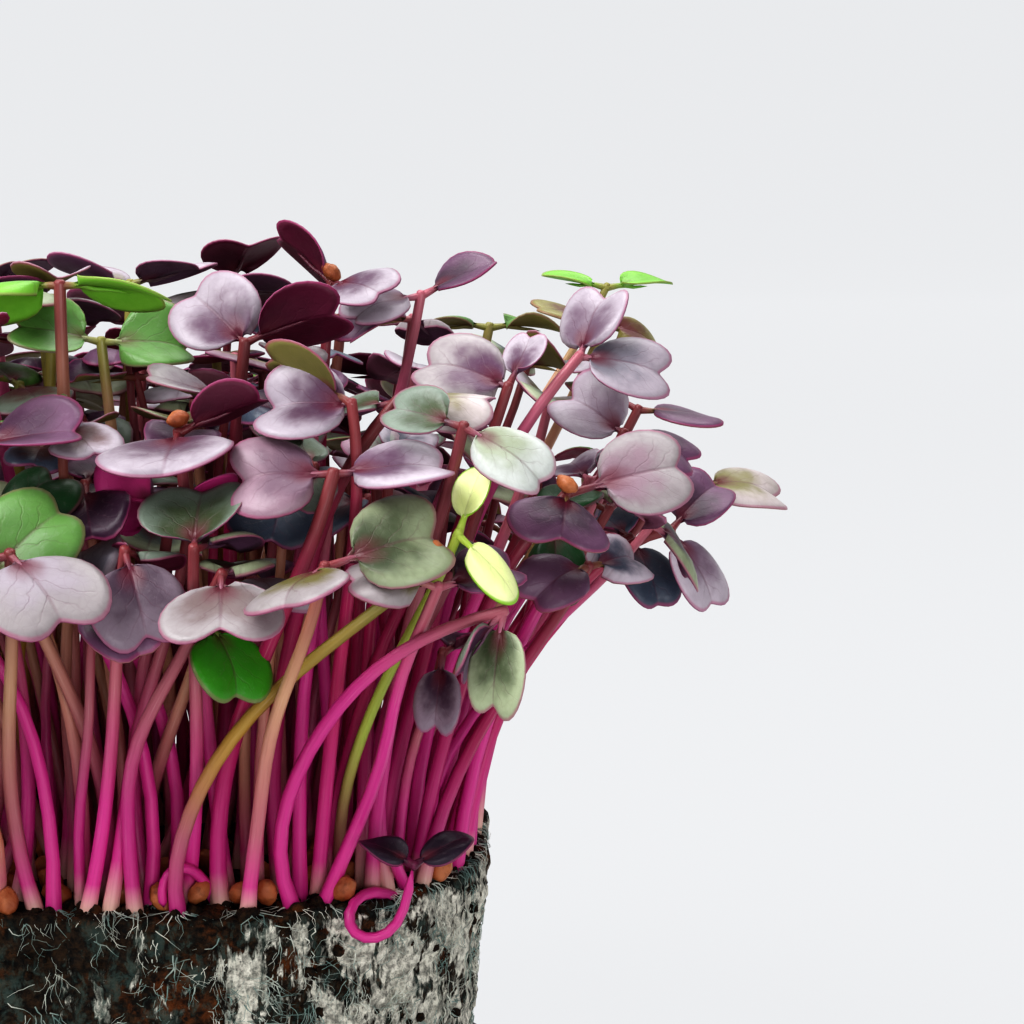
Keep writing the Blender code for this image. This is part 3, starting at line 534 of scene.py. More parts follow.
# Sprouts that the front shows: the stem's look, then each seed leaf's upper side, its lower side and,
# where heartOf doesn't give it, the middle of its upper side
lookLines = """
palePair tan mist/dusty/lavender mist/dusty/darkSage
greyDroop usual dove/plum/deepPlum greyGreen/wine
wineFunnel usual plum/wine lavender/crimson
redHeart usual mist/dusty/russet sage/dusty
veinedBack usual greyGreen/plum sage/plum
magentaCurl usual plum/magenta plum/magenta
stackedPair red mauve/dusty lavender/plum
heartFace tan sage/dusty/darkSage mist/dusty/olive
hullBowl usual lavender/wine plum/wine
archedOver pink sage/dusty greyGreen/plum
foldedPair red lavender/mauve plum/olive
smallFront red palePink/plum greyGreen/plum
whitePaddle usual paleGrey/dusty/sage greyGreen/slate
paleSpread red mist/plum/mauve plum/olive
lavenderSide red mist/plum/plum lavender/plum
hooked dark ink/ink ink/ink
shadedCup red lavender/plum plum/wine
butterfly pink lavender/plum lavender/mauve/slate
lilacDroop red lavender/plum plum/wine
farRight red palePink/olive plum/wine
slateUnder red slate/wine slate/wine
oliveEdge red plum/olive olive/crimson
pinkArch red lavender/wine plum/wine
wineTop red plum/wine lavender/plum
edgeOn pink lavender/plum plum/wine
greenHeart tan green/green green/darkGreen
greenShade green darkGreen/darkGreen darkGreen/darkGreen
greenLow green freshGreen/green darkGreen/darkGreen
umbrella tan sunGreen/sunGreen sunGreen/sunGreen
rolledGreen green green/sage green/sage
limeOpen lime limePale/lime/limePale limePale/lime/limePale
ochreLean ochre darkSage/plum darkSage/plum
deepDroop green darkGreen/darkGreen darkGreen/darkGreen
backOlive green olive/olive olive/olive
backThin green sunGreen/sunGreen sunGreen/sunGreen
limeArc green green/olive green/olive
slateFill tan slate/wine slate/plum
sageFill tan greyGreen/plum greyGreen/plum
deepFill usual slate/wine deepPlum/wine
wineFill usual dove/plum plum/wine
duskFill usual deepPlum/wine slate/wine
plumFill tan deepPlum/wine plum/wine
"""
sproutLooks = {}
for line in lookLines.split("\n")[1:-1]:
    name, stemLook, *sides = line.split()
    sproutLooks[name] = (stemLook, *(tuple(side.split("/")) for side in sides))
# Sprouts in the shade behind the front ones: the roots to try, the fork, and each leaf's heading,
# pitch, roll, length and width
shadeFill = (
    ("slateFill", ((19, -31), (22, -27), (16, -27)), (22.5, -36.5, 47),
     ((-92, -40, 0, 8.5, 11), (80, 10, 0, 7, 8))),
    ("sageFill", ((25, -28), (28, -26), (22, -25)), (27.5, -35, 48),
     ((-80, -30, 0, 7.5, 8.5), (100, 20, 0, 7, 7))),
    ("deepFill", ((33, -27), (30, -24), (36, -24)), (36.5, -36, 34),
     ((-100, -24, 0, 7.5, 8.5), (40, 20, 0, 6, 7))),
    ("wineFill", ((37, -22), (35, -25), (39, -18)), (41, -34.5, 30),
     ((-104, -66, 0, 8, 6.5), (60, 10, 0, 6, 6))),
    ("duskFill", ((38, -14), (35, -14), (31, -19)), (44.5, -30, 46),
     ((-90, -36, 0, 9, 11), (100, 14, 0, 8, 9))),
    ("plumFill", ((2, -30), (-2, -29), (6, -27)), (2, -36, 50),
     ((-96, -34, 0, 8.5, 10.5), (70, 16, 0, 7, 8))),
)
# For all the others, drawn by lot
otherHearts = ("deepPlum", "darkSage", "olive", "plum", "slate", "russet", "greyGreen")
# The middle of the upper side where a look names none
heartOf = {"mist": "plum", "dove": "deepPlum", "lavender": "plum", "palePink": "olive", "mauve": "plum",
           "paleGrey": "greyGreen", "sage": "darkSage", "greyGreen": "darkSage", "plum": "deepPlum",
           "olive": "russet"}
otherTops = ("lavender", "mauve", "plum", "mist", "greyGreen", "sage", "plum", "deepPlum", "slate",
             "lavender", "green")
otherUnders = ("wine", "plum", "crimson", "dusty", "olive")
otherStems = ("usual", "usual", "red", "pink", "tan", "tan", "peach", "yellow")
redFrom = 24  # past here on X the stems are red or pink


# A socket that takes part in arithmetic
class Wire:
    def __init__(self, paint, socket):
        self.paint = paint
        self.socket = socket

    def sum(self, operation, first, second):
        return self.paint.node("ShaderNodeMath", {"operation": operation}, {0: first, 1: second})

    def __add__(self, other):
        return self.sum("ADD", self, other)

    def __radd__(self, other):
        return self.sum("ADD", other, self)

    def __sub__(self, other):
        return self.sum("SUBTRACT", self, other)

    def __rsub__(self, other):
        return self.sum("SUBTRACT", other, self)

    def __mul__(self, other):
        return self.sum("MULTIPLY", self, other)

    def __rmul__(self, other):
        return self.sum("MULTIPLY", other, self)

    def __abs__(self):
        return self.paint.node("ShaderNodeMath", {"operation": "ABSOLUTE"}, {0: self})


# One material and the nodes that are added to it
class Paint:
    def __init__(self, name, fixed):
        self.material = bpy.data.materials.new(name)
        self.material.use_nodes = True
        self.tree = self.material.node_tree
        self.shader = self.tree.nodes["Principled BSDF"]
        for key, value in fixed.items():
            self.shader.inputs[key].default_value = value

    def fill(self, socket, value):
        if isinstance(value, Wire):
            self.tree.links.new(value.socket, socket)
        else:
            socket.default_value = value

    def node(self, kind, settings, sockets, out=0):
        made = self.tree.nodes.new(kind)
        for key, value in settings.items():
            if key == "stops":
                ramp = made.color_ramp
                while len(ramp.elements) < len(value):
                    ramp.elements.new(1.0)
                for element, (place, colour) in zip(ramp.elements, value):
                    element.position = place
                    element.color = (*colour, 1)
            else:
                setattr(made, key, value)
        for key, value in sockets.items():
            self.fill(made.inputs[key], value)
        return Wire(self, made.outputs[out])

    def mix(self, share, low, high, blend="MIX"):
        low, high = ((*c, 1) if isinstance(c, tuple) else c for c in (low, high))
        settings = {"data_type": "RGBA", "blend_type": blend}
        return self.node("ShaderNodeMix", settings, {0: share, 6: low, 7: high}, out=2)

    def ease(self, value, start, end, low=0.0, high=1.0):
        settings = {"interpolation_type": "SMOOTHSTEP"}
        sockets = {"Value": value, "From Min": start, "From Max": end, "To Min": low, "To Max": high}
        return self.node("ShaderNodeMapRange", settings, sockets)

    def attribute(self, name, out="Fac"):
        return self.node("ShaderNodeAttribute", {"attribute_name": name}, {}, out=out)

    def place(self, out="Object"):
        return self.node("ShaderNodeTexCoord", {}, {}, out=out)

    def stretched(self, vector, scale):
        return self.node("ShaderNodeMapping", {}, {"Vector": vector, "Scale": scale})

    def cloud(self, vector, scale, detail=3.0, roughness=0.5, distortion=0.0):
        sockets = {"Vector": vector, "Scale": scale, "Detail": detail, "Roughness": roughness,
                   "Distortion": distortion}
        return self.node("ShaderNodeTexNoise", {}, sockets)

    def cells(self, vector, scale, feature="F1", out="Distance"):
        links = {"Vector": vector, "Scale": scale}
        return self.node("ShaderNodeTexVoronoi", {"feature": feature}, links, out=out)

    def relief(self, height, strength, distance):
        sockets = {"Height": height, "Strength": strength, "Distance": distance}
        self.feed("Normal", self.node("ShaderNodeBump", {}, sockets))

    def feed(self, key, wire):
        self.fill(self.shader.inputs[key], wire)


# Painted sheen: the upper side is made paler towards the edge, and pale specks are laid over it, in place of
# light on the leaf's waxy bloom
leafSkinLook = {"vein": tone(96, 44, 66), "veinShare": 0.34, "sheenSpeck": tone(232, 218, 224), "sheenSpeckShare": 0.05,
                "edgeSheen": 0.45, "rim": tone(176, 70, 120), "rimShare": 0.5, "mottle": 0.45,
                "foot": tone(104, 34, 52), "footShare": 0.85}
greenSkinLook = {**leafSkinLook, "edgeSheen": 0.35, "rimShare": 0.3, "footShare": 0.45}
limeSkinLook = {**leafSkinLook, "rim": tone(140, 194, 44), "rimShare": 0.9, "mottle": 0.1, "veinShare": 0.15,
                "footShare": 0.0}


def leafSkin(name, look):
    paint = Paint(name, {"Specular IOR Level": 0.42, "Coat Roughness": 0.25})
    spot = paint.place()
    flat = paint.place("UV")
    along = paint.node("ShaderNodeSeparateXYZ", {}, {0: flat}, out=0)
    across = abs(paint.node("ShaderNodeSeparateXYZ", {}, {0: flat}, out=1) * 2 - 1)
    wander = paint.cloud(flat, 5.0, 2.0) - 0.5
    under = paint.attribute("side")
    reach = paint.attribute("rim")
    patches = paint.cloud(spot, 210.0, 3.0, 0.6)
    speckle = paint.cloud(spot, 1500.0, 2.0, 0.6)
    # the midrib, then side veins that leave it forwards and bend with the edge
    midrib = paint.ease(across + along * 0.01, 0.055, 0.012) * paint.ease(along, 1.0, 0.5)
    fork = along - across * 0.85 + across * across * 0.3 + wander * 0.25
    gap = paint.node("ShaderNodeMath", {"operation": "PINGPONG"}, {0: fork + 1.0, 1: 0.13}) * 7.7
    sideVein = paint.ease(gap, 0.13, 0.03) * paint.ease(across, 0.85, 0.25) * paint.ease(along, 0.95, 0.55)
    net = paint.ease(paint.cells(paint.stretched(flat, (9, 13, 1)), 1.0, "DISTANCE_TO_EDGE"), 0.09, 0.0)
    veins = midrib + sideVein * 0.55 + net * 0.13
    top = paint.attribute("topColour", "Color")
    heart = paint.attribute("heartColour", "Color")
    bottom = paint.attribute("underColour", "Color")
    # paler towards the edge by painted sheen, deeper in the middle, with soft clouds over both
    sheened = paint.mix(look["edgeSheen"], top, top, "SCREEN")
    outer = paint.ease(reach + wander * 0.3, 0.35, 0.95) * paint.ease(patches, 0.2, 0.6, 0.4, 1.0)
    middle = paint.ease(reach + wander * 0.5 + (patches - 0.5) * 0.4, 0.9, 0.3) * paint.attribute("depth")
    upper = paint.mix(middle, paint.mix(outer, top, sheened), heart)
    cloudy = paint.ease(patches, 0.5, 0.8) * look["mottle"]
    upper = paint.mix(cloudy, upper, paint.mix(0.7, upper, heart, "MULTIPLY"))
    # painted sheen: pale specks for light on the waxy bloom
    upper = paint.mix(paint.ease(speckle, 0.55, 0.8) * look["sheenSpeckShare"], upper, look["sheenSpeck"])
    upper = paint.mix(veins * look["veinShare"], upper, look["vein"])
    # the lower side gets a little of the same painted sheen towards the edge
    lower = paint.mix(outer * 0.4, bottom, bottom, "SCREEN")
    lower = paint.mix(paint.ease(patches, 0.4, 0.7) * 0.35, lower, paint.mix(0.7, lower, heart, "MULTIPLY"))
    lower = paint.mix(veins * 0.25, lower, paint.mix(0.6, lower, look["vein"], "SCREEN"))
    footing = paint.ease(reach * (0.7 + across * 0.6) + wander * 0.16, 0.34, 0.03) * look["footShare"]
    upper = paint.mix(footing, upper, look["foot"])
    lower = paint.mix(footing, lower, look["foot"])
    rim = paint.ease(reach, 0.95, 0.99) * look["rimShare"]
    paint.feed("Base Color", paint.mix(rim, paint.mix(under, upper, lower), look["rim"]))
    paint.feed("Roughness", paint.ease(patches, 0.3, 0.7, 0.4, 0.54) + under * 0.06)
    paint.feed("Coat Weight", (1 - under) * 0.14)
    paint.relief(veins * -0.7 + speckle * 0.3, 0.3, 0.0003)
    return paint.material


def stemSkin(name):
    paint = Paint(name, {"Specular IOR Level": 0.5})
    flat = paint.place("UV")
    streaks = paint.cloud(paint.stretched(flat, (6, 2.2, 1)), 3.0, 4.0, 0.6)
    colour = paint.attribute("stemColour", "Color")
    shaded = paint.mix(0.5, colour, tone(150, 60, 90), "MULTIPLY")
    colour = paint.mix(paint.ease(streaks, 0.5, 0.8) * 0.5, colour, shaded)
    colour = paint.mix(paint.ease(streaks, 0.45, 0.2) * 0.22, colour, tone(236, 206, 204))
    paint.feed("Base Color", colour)
    paint.feed("Roughness", paint.ease(streaks, 0.3, 0.7, 0.3, 0.46))
    paint.relief(streaks, 0.25, 0.0003)
    return paint.material


def soilSkin():
    paint = Paint("rooted_soil", {"Specular IOR Level": 0.25})
    spot = paint.place()
    coarse = paint.cloud(spot, 190.0, 4.0, 0.65)
    fine = paint.cloud(spot, 900.0, 4.0, 0.7)
    grains = paint.cells(spot, 750.0)
    dark = paint.mix(paint.ease(fine, 0.35, 0.7), tone(14, 12, 11), tone(66, 48, 32))
    colour = paint.mix(paint.ease(coarse + fine * 0.5, 0.76, 1.0) * 0.75, dark, tone(118, 66, 32))
    # fine hairs of the roots mat the sides: a thin haze, and white streaks that run downwards, in patches
    matted = paint.attribute("matting")
    haze = paint.ease(paint.cloud(paint.stretched(spot, (1, 1, 0.6)), 420.0, 5.0, 0.7, 0.5), 0.47, 0.62)
    colour = paint.mix(haze * paint.ease(matted, 0.05, 0.3) * 0.6, colour, tone(80, 100, 94))
    streaks = paint.cloud(paint.stretched(spot, (1, 1, 0.2)), 1300.0, 5.0, 0.7, 0.6)
    patches = paint.cloud(paint.stretched(spot, (1, 1, 0.42)), 300.0, 5.0, 0.66, 0.4)
    hairs = paint.ease((patches - 0.5) * 2.2 + (matted - 0.7) * 0.6 + (streaks - 0.5) * 0.8, -0.02, 0.12)
    hairs = hairs * paint.ease(fine, 0.28, 0.55, 0.35, 1.0)
    hairTone = paint.ease(streaks + matted * 0.35, 0.55, 0.85)
    hairTone = paint.mix(hairTone, tone(96, 108, 100), tone(248, 244, 230))
    paint.feed("Base Color", paint.mix(hairs, colour, hairTone))
    paint.feed("Roughness", paint.ease(coarse, 0.3, 0.7, 0.7, 0.95))
    paint.relief(coarse * 0.6 + fine * 0.8 + hairs * 0.5 - grains * 0.6, 1.0, 0.0011)
    return paint.material


def crumbSkin():
    paint = Paint("soil_crumbs", {"Specular IOR Level": 0.25})
    spot = paint.place()
    fine = paint.cloud(spot, 1400.0, 4.0, 0.7)
    patch = paint.cloud(spot, 260.0, 2.0)
    dark = paint.mix(paint.ease(fine, 0.35, 0.7), tone(16, 13, 11), tone(66, 47, 31))
    paint.feed("Base Color", paint.mix(paint.ease(patch, 0.55, 0.7), dark, tone(112, 64, 34)))
    paint.feed("Roughness", paint.ease(fine, 0.3, 0.7, 0.7, 0.95))
    paint.relief(fine, 1.0, 0.0006)
    return paint.material


def rootSkin():
    paint = Paint("root_hairs", {"Specular IOR Level": 0.3})
    shade = paint.cloud(paint.place(), 260.0, 2.0)
    light = paint.ease(shade, 0.35, 0.65)
    paint.feed("Base Color", paint.mix(light, tone(120, 146, 140), tone(228, 228, 216)))
    paint.feed("Roughness", paint.ease(shade, 0.3, 0.7, 0.5, 0.7))
    return paint.material


def coatSkin():
    paint = Paint("seed_coat", {"Specular IOR Level": 0.5})
    spot = paint.place()
    wrinkle = paint.cloud(spot, 700.0, 5.0, 0.65, 0.4)
    patch = paint.cloud(spot, 230.0, 2.0)
    colour = paint.mix(paint.ease(patch, 0.35, 0.65), tone(150, 78, 44), tone(186, 116, 74))
    colour = paint.mix(paint.ease(wrinkle, 0.5, 0.75) * 0.7, colour, tone(84, 36, 20))
    paint.feed("Base Color", colour)
    paint.feed("Roughness", paint.ease(wrinkle, 0.3, 0.7, 0.4, 0.6))
    paint.relief(wrinkle, 0.6, 0.0005)
    return paint.material


def traySkin():
    paint = Paint("black_plastic", {"Specular IOR Level": 0.45})
    grain = paint.cloud(paint.place(), 2400.0, 2.0)
    wear = paint.cloud(paint.place(), 60.0, 4.0, 0.6)
    paint.feed("Base Color", paint.mix(paint.ease(wear, 0.4, 0.75), tone(26, 26, 27), tone(44, 43, 42)))
    paint.feed("Roughness", paint.ease(wear, 0.3, 0.7, 0.38, 0.56))
    paint.relief(grain, 0.15, 0.0002)
    return paint.material


# A seed leaf drawn flat: x runs from its base to its edge, y from one side to the other
leafGrid = {"widest": 92.0, "foot": 97.0, "reach": 1.05, "flatness": 2.35, "notch": 0.22, "notchWidth": 15.0,
            "centre": 0.04}
leafWaves = {"uneven": 0.1, "lobes": 0.035, "ripple": (0.2, 0.55), "waves": (2, 3, 4, 5), "curl": (-1.5, 0.4),
             "bend": (-0.9, 0.9), "hearts": (0.55, 0.8, 1.0, 1.0)}
leafDepth = {"middle": 0.24, "edge": 0.12, "groove": 0.16, "grooveWidth": 0.55}
petiole = {"start": 0.58, "neck": 0.34, "end": 0.1, "reach": 0.55, "behind": 0.35, "under": 0.12,
           "sunk": 0.55}


# From a row of the flat leaf, -1 to 1, to degrees from the midrib, closer together at the notch
def leafTurn(row):
    return np.sign(row) * np.abs(row) ** 1.3 * leafGrid["widest"]


def edgeShare(degrees, notch):
    off = np.abs(degrees)
    swell = np.clip(1 - (off / leafGrid["foot"]) ** leafGrid["flatness"], 0, 1) ** 0.9
    return leafGrid["reach"] * swell * (1 - notch * np.exp(-(off / leafGrid["notchWidth"]) ** 1.6))


# Rows of the flat leaf keep off its foot, so that they don't meet in one point
def leafReach(share):
    return leafGrid["centre"] + (1 - leafGrid["centre"]) * share


def meshFrom(bm, name):
    made = bpy.data.meshes.new(name)
    bm.to_mesh(made)
    bm.free()
    return made


def addObject(name, data):
    made = bpy.data.objects.new(name, data)
    bpy.context.scene.collection.objects.link(made)
    return made


def roundEdges(bm, edges, size, steps):
    bmesh.ops.bevel(bm, geom=edges, offset=size, segments=steps, profile=0.5, affect="EDGES", material=-1)


def shadeSmooth(bm):
    for face in bm.faces:
        face.smooth = True


def flatLeaf(steps, turns):
    bm = bmesh.new()
    layer = bm.loops.layers.uv.new("UVMap")
    bmesh.ops.create_grid(bm, x_segments=steps, y_segments=turns, size=1.0)
    bmesh.ops.solidify(bm, geom=bm.faces, thickness=0.2)
    low = min(v.co.z for v in bm.verts)
    high = max(v.co.z for v in bm.verts)
    for v in bm.verts:
        v.co.z = 1.0 if v.co.z > (low + high) / 2 else 0.0
    bmesh.ops.recalc_face_normals(bm, faces=bm.faces)
    shadeSmooth(bm)
    for face in bm.faces:
        for loop in face.loops:
            reach, degrees = (loop.vert.co.x + 1) / 2, float(leafTurn(loop.vert.co.y))
            turn = math.radians(degrees)
            share = float(edgeShare(degrees, leafGrid["notch"])) * leafReach(reach)
            loop[layer].uv = (share * math.cos(turn), 0.5 + share * math.sin(turn) / outlineWidth / 2)
    return meshFrom(bm, "flat_leaf")


def flatTube(rings, sides, name):
    bm = bmesh.new()
    layer = bm.loops.layers.uv.new("UVMap")
    bmesh.ops.create_grid(bm, x_segments=sides, y_segments=rings, size=1.0)
    shadeSmooth(bm)
    for face in bm.faces:
        for loop in face.loops:
            loop[layer].uv = ((loop.vert.co.x + 1) / 2, (loop.vert.co.y + 1) / 2)
    return meshFrom(bm, name)


# Adds a copy of a flat shape to bm, moved point by point and given its values
def addShape(bm, flat, places, values):
    first = len(bm.verts)
    bm.from_mesh(flat)
    bm.verts.ensure_lookup_table()
    fresh = bm.verts[first:]
    for v, place in zip(fresh, places.tolist()):
        v.co = place
    for key, each in values.items():
        layer = bm.verts.layers.float_color.get(key) or bm.verts.layers.float.get(key)
        if isinstance(each, tuple):
            for v in fresh:
                v[layer] = (*each, 1)
        else:
            for v, value in zip(fresh, each.tolist()):
                v[layer] = value


def flatPoints(mesh):
    found = np.empty(len(mesh.vertices) * 3)
    mesh.vertices.foreach_get("co", found)
    return found.reshape(-1, 3)


def newPlant():
    bm = bmesh.new()
    for key in ("topColour", "underColour", "heartColour", "stemColour"):
        bm.verts.layers.float_color.new(key)
    for key in ("side", "rim", "depth"):
        bm.verts.layers.float.new(key)
    bm.loops.layers.uv.new("UVMap")
    return bm


def addLeaf(bm, kit, one, apex, colours, draw):
    flat = kit["leafPoints"]
    reach = leafReach((flat[:, 0] + 1) / 2)
    degrees = leafTurn(flat[:, 1])
    turn = np.radians(degrees)
    notch = 0.0 if one["plain"] else leafGrid["notch"] * draw.uniform(0.75, 1.25)
    uneven = 1 + leafWaves["uneven"] * draw.uniform(-1, 1) * np.sin(turn)
    uneven = uneven + leafWaves["lobes"] * np.sin(turn * 3 + draw.uniform(0, 6))
    share = edgeShare(degrees, notch) * reach * uneven
    half = one["width"] / 2
    x = share * np.cos(turn) * one["length"] - one["neck"] * 0.5 * np.clip(1 - reach / 0.3, 0, 1) ** 2
    y = share * np.sin(turn) / outlineWidth * half
    phase = draw.uniform(0, 6.3)
    ripple = draw.uniform(*leafWaves["ripple"]) * reach**3
    ripple = ripple * np.sin(turn * draw.choice(leafWaves["waves"]) + phase)
    curl = draw.uniform(*leafWaves["curl"]) * np.clip(reach - 0.5, 0, 1) ** 2 * 4
    # each lobe bends its own way
    bends = [draw.uniform(*leafWaves["bend"]) for _ in range(2)]
    bend = np.where(turn > 0, *bends) * np.sin(turn) ** 2 * reach**2
    height = one["fold"] * (np.sqrt(y * y + 0.5) - 0.7) + one["cup"] * half * (y / half) ** 2
    height = height - one["arch"] * one["length"] * (x / one["length"]) ** 2 + ripple + curl + bend
    groove = leafDepth["groove"] * np.exp(-(y / leafDepth["grooveWidth"]) ** 2)
    height = height - groove * (1 - np.clip(x / one["length"], 0, 1))
    depth = leafDepth["middle"] + (leafDepth["edge"] - leafDepth["middle"]) * reach**4
    below = flat[:, 2] <= 0.5
    height = height + np.where(below, -depth, depth)
    face, along = np.array(one["face"]), np.array(one["along"])
    across = np.cross(face, along)
    places = np.array(apex) + np.outer(x + one["neck"], along) + np.outer(y, across) + np.outer(height, face)
    values = {
        "topColour": colours[0],
        "underColour": colours[1],
        "heartColour": colours[2],
        "side": np.where(below, 1.0, 0.0),
        "rim": reach,
        "depth": np.full(len(reach), draw.choice(leafWaves["hearts"])),
    }
    addShape(bm, kit["leaf"], places, values)
    addPetiole(bm, kit, one, apex, colours)


def blended(low, high, share):
    return tuple(a * (1 - share) + b * share for a, b in zip(low, high))


def addPetiole(bm, kit, one, apex, colours):
    share = np.linspace(0, 1, kit["ribRows"])
    full = one["neck"] + one["length"] * petiole["reach"] + petiole["behind"]
    x = -petiole["behind"] + share * full
    on = np.clip(x - one["neck"], 0, None)
    z = -one["arch"] * one["length"] * (on / one["length"]) ** 2 - petiole["under"]
    z = z - petiole["sunk"] * np.clip(on / 1.6, 0, 1)
    along, face = np.array(one["along"]), np.array(one["face"])
    path = np.array(apex) + np.outer(x, along) + np.outer(z, face)
    stops = (-petiole["behind"], one["neck"], full)
    radii = np.interp(x, stops, (petiole["start"], petiole["neck"], petiole["end"]))
    radii[-1] = 0
    turned = np.clip(x / one["neck"] - 0.3, 0, 1) * 0.9
    shade = [blended(colours[3], colours[1], t) for t in turned]
    addTube(bm, kit["rib"], kit["ribPoints"], path, radii, shade)


# Lays a flat tube along a path, one row of its points at each place on it
def addTube(bm, flat, points, path, radii, colours):
    rows = len(path)
    ahead = np.gradient(path, axis=0)
    ahead /= np.linalg.norm(ahead, axis=1)[:, None]
    across = np.empty_like(path)
    side = np.cross(ahead[0], (0.3, 1.0, 0.2))
    for i in range(rows):
        side = side - ahead[i] * side.dot(ahead[i])
        side /= np.linalg.norm(side)
        across[i] = side
    other = np.cross(ahead, across)
    row = np.clip(np.rint((points[:, 1] + 1) / 2 * (rows - 1)).astype(int), 0, rows - 1)
    turn = (points[:, 0] + 1) * np.pi
    out = across[row] * np.cos(turn)[:, None] + other[row] * np.sin(turn)[:, None]
    places = path[row] + out * np.array(radii)[row][:, None]
    first = len(bm.verts)
    addShape(bm, flat, places, {})
    layer = bm.verts.layers.float_color.get("stemColour")
    bm.verts.ensure_lookup_table()
    for v, i in zip(bm.verts[first:], row.tolist()):
        if layer:
            v[layer] = (*colours[i], 1)
    for face in bm.faces[-(len(flat.polygons)):]:
        face.material_index = 1


def shadeOf(colour, factor):
    return tuple(min(1, c * factor) for c in colour)


def blendTones(look, share):
    stops = stemLooks[look]
    for (start, low), (end, high) in zip(stops, stops[1:]):
        if share <= end:
            return blended(stemTones[low], stemTones[high], (share - start) / (end - start))
    return stemTones[stops[-1][1]]


def drawnLook(one, draw, stemLook):
    tops = [draw.choice(otherTops) for _ in range(2)]
    hearts = [draw.choice(otherHearts) for _ in range(2)]
    reddish = one["root"][0] > redFrom and draw.choice(("red", "pink", "red"))
    return (stemLook or reddish or draw.choice(otherStems),
            *((top, draw.choice(otherUnders), heart) for top, heart in zip(tops, hearts)))


def addSprout(bm, kit, one, draw, stemLook=None):
    look = sproutLooks.get(one["name"]) or drawnLook(one, draw, stemLook)
    rows = kit["stemRows"]
    points, tip = stemCurve(one, rows - 5)
    foot = points[0] - (points[1] - points[0]).normalized() * 4
    path = np.array([foot, *points, points[-1] + tip * 0.4, points[-1] + tip * 0.62, points[-1] + tip * 0.66])
    share = np.clip((np.arange(rows) - 1) / (rows - 5), 0, 1)
    sway = np.sin(share * draw.uniform(5, 9) + draw.uniform(0, 6)) * share * (1 - share) * 5
    path = path + np.outer(sway, (draw.uniform(-0.5, 0.5), draw.uniform(-0.5, 0.5), 0))
    radii = one["radius"] * (1.1 - 0.34 * share) * (1 + 0.16 * np.exp(-(share / 0.03) ** 2))
    radii[-3:] *= (0.96, 0.6, 0.0)
    fade = draw.uniform(0.8, 1.14)
    colours = [shadeOf(blendTones(look[0], min(1, s * draw.uniform(0.97, 1.03))), fade) for s in share]
    addTube(bm, kit["stem"], kit["stemPoints"], path, radii, colours)
    for each, keys in zip(one["leaves"], look[1:]):
        shade = draw.uniform(0.84, 1.12)
        keys = (*keys, heartOf.get(keys[0], keys[0]))[:3]
        shades = [shadeOf(leafTones[key], shade) for key in keys]
        addLeaf(bm, kit, each, one["apex"], [*shades, colours[-1]], draw)


def finishPlant(bm, name, slot, skins):
    bmesh.ops.remove_doubles(bm, verts=bm.verts, dist=0.004)
    return finishPiece(bm, name, slot, skins)


def finishPiece(bm, name, slot, skins, scale=toMetres):
    bmesh.ops.scale(bm, vec=(scale,) * 3, verts=bm.verts)
    made = addObject(name, meshFrom(bm, name))
    for skin in skins:
        made.data.materials.append(skin)
    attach(made, "root")
    return made


def sproutKit(steps, turns, stemRows, sides, ribRows=7):
    kit = {"leaf": flatLeaf(steps, turns), "stem": flatTube(stemRows - 1, sides, "flat_stem"),
           "rib": flatTube(ribRows - 1, 6, "flat_rib")}
    points = {key + "Points": flatPoints(mesh) for key, mesh in kit.items()}
    return {**kit, **points, "stemRows": stemRows, "ribRows": ribRows}


def dressTufts(kit, tufts, skins):
    draw = random.Random(21)
    for number, tuft in enumerate(tufts):
        kind = tuft[0]["kind"]
        label = "tuft" if len(tuft) > 1 or kind == "plum" else "sprout"
        node = "%s_%s_%02d" % (kind, label, number + 1)
        bm = newPlant()
        for one in tuft:
            addSprout(bm, kit, one, draw)
        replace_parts(finishPlant(bm, "fine_" + node, kind, skins[kind]), node)


# Sprouts that fill the rest of the block, bent clear of the others
filling = {"count": 290, "gap": 2.0, "inset": 2.0, "group": 26, "tries": 6, "draws": 6000, "lowest": 85,
           "low": (-60, -52), "high": (74, 58), "size": 0.88, "thin": 0.9, "sunk": (0, 6, 12, 20), "move": 6}
shading = {"count": 110, "inset": 4.0, "tries": 6, "draws": 3000, "thin": 0.85, "move": 5}


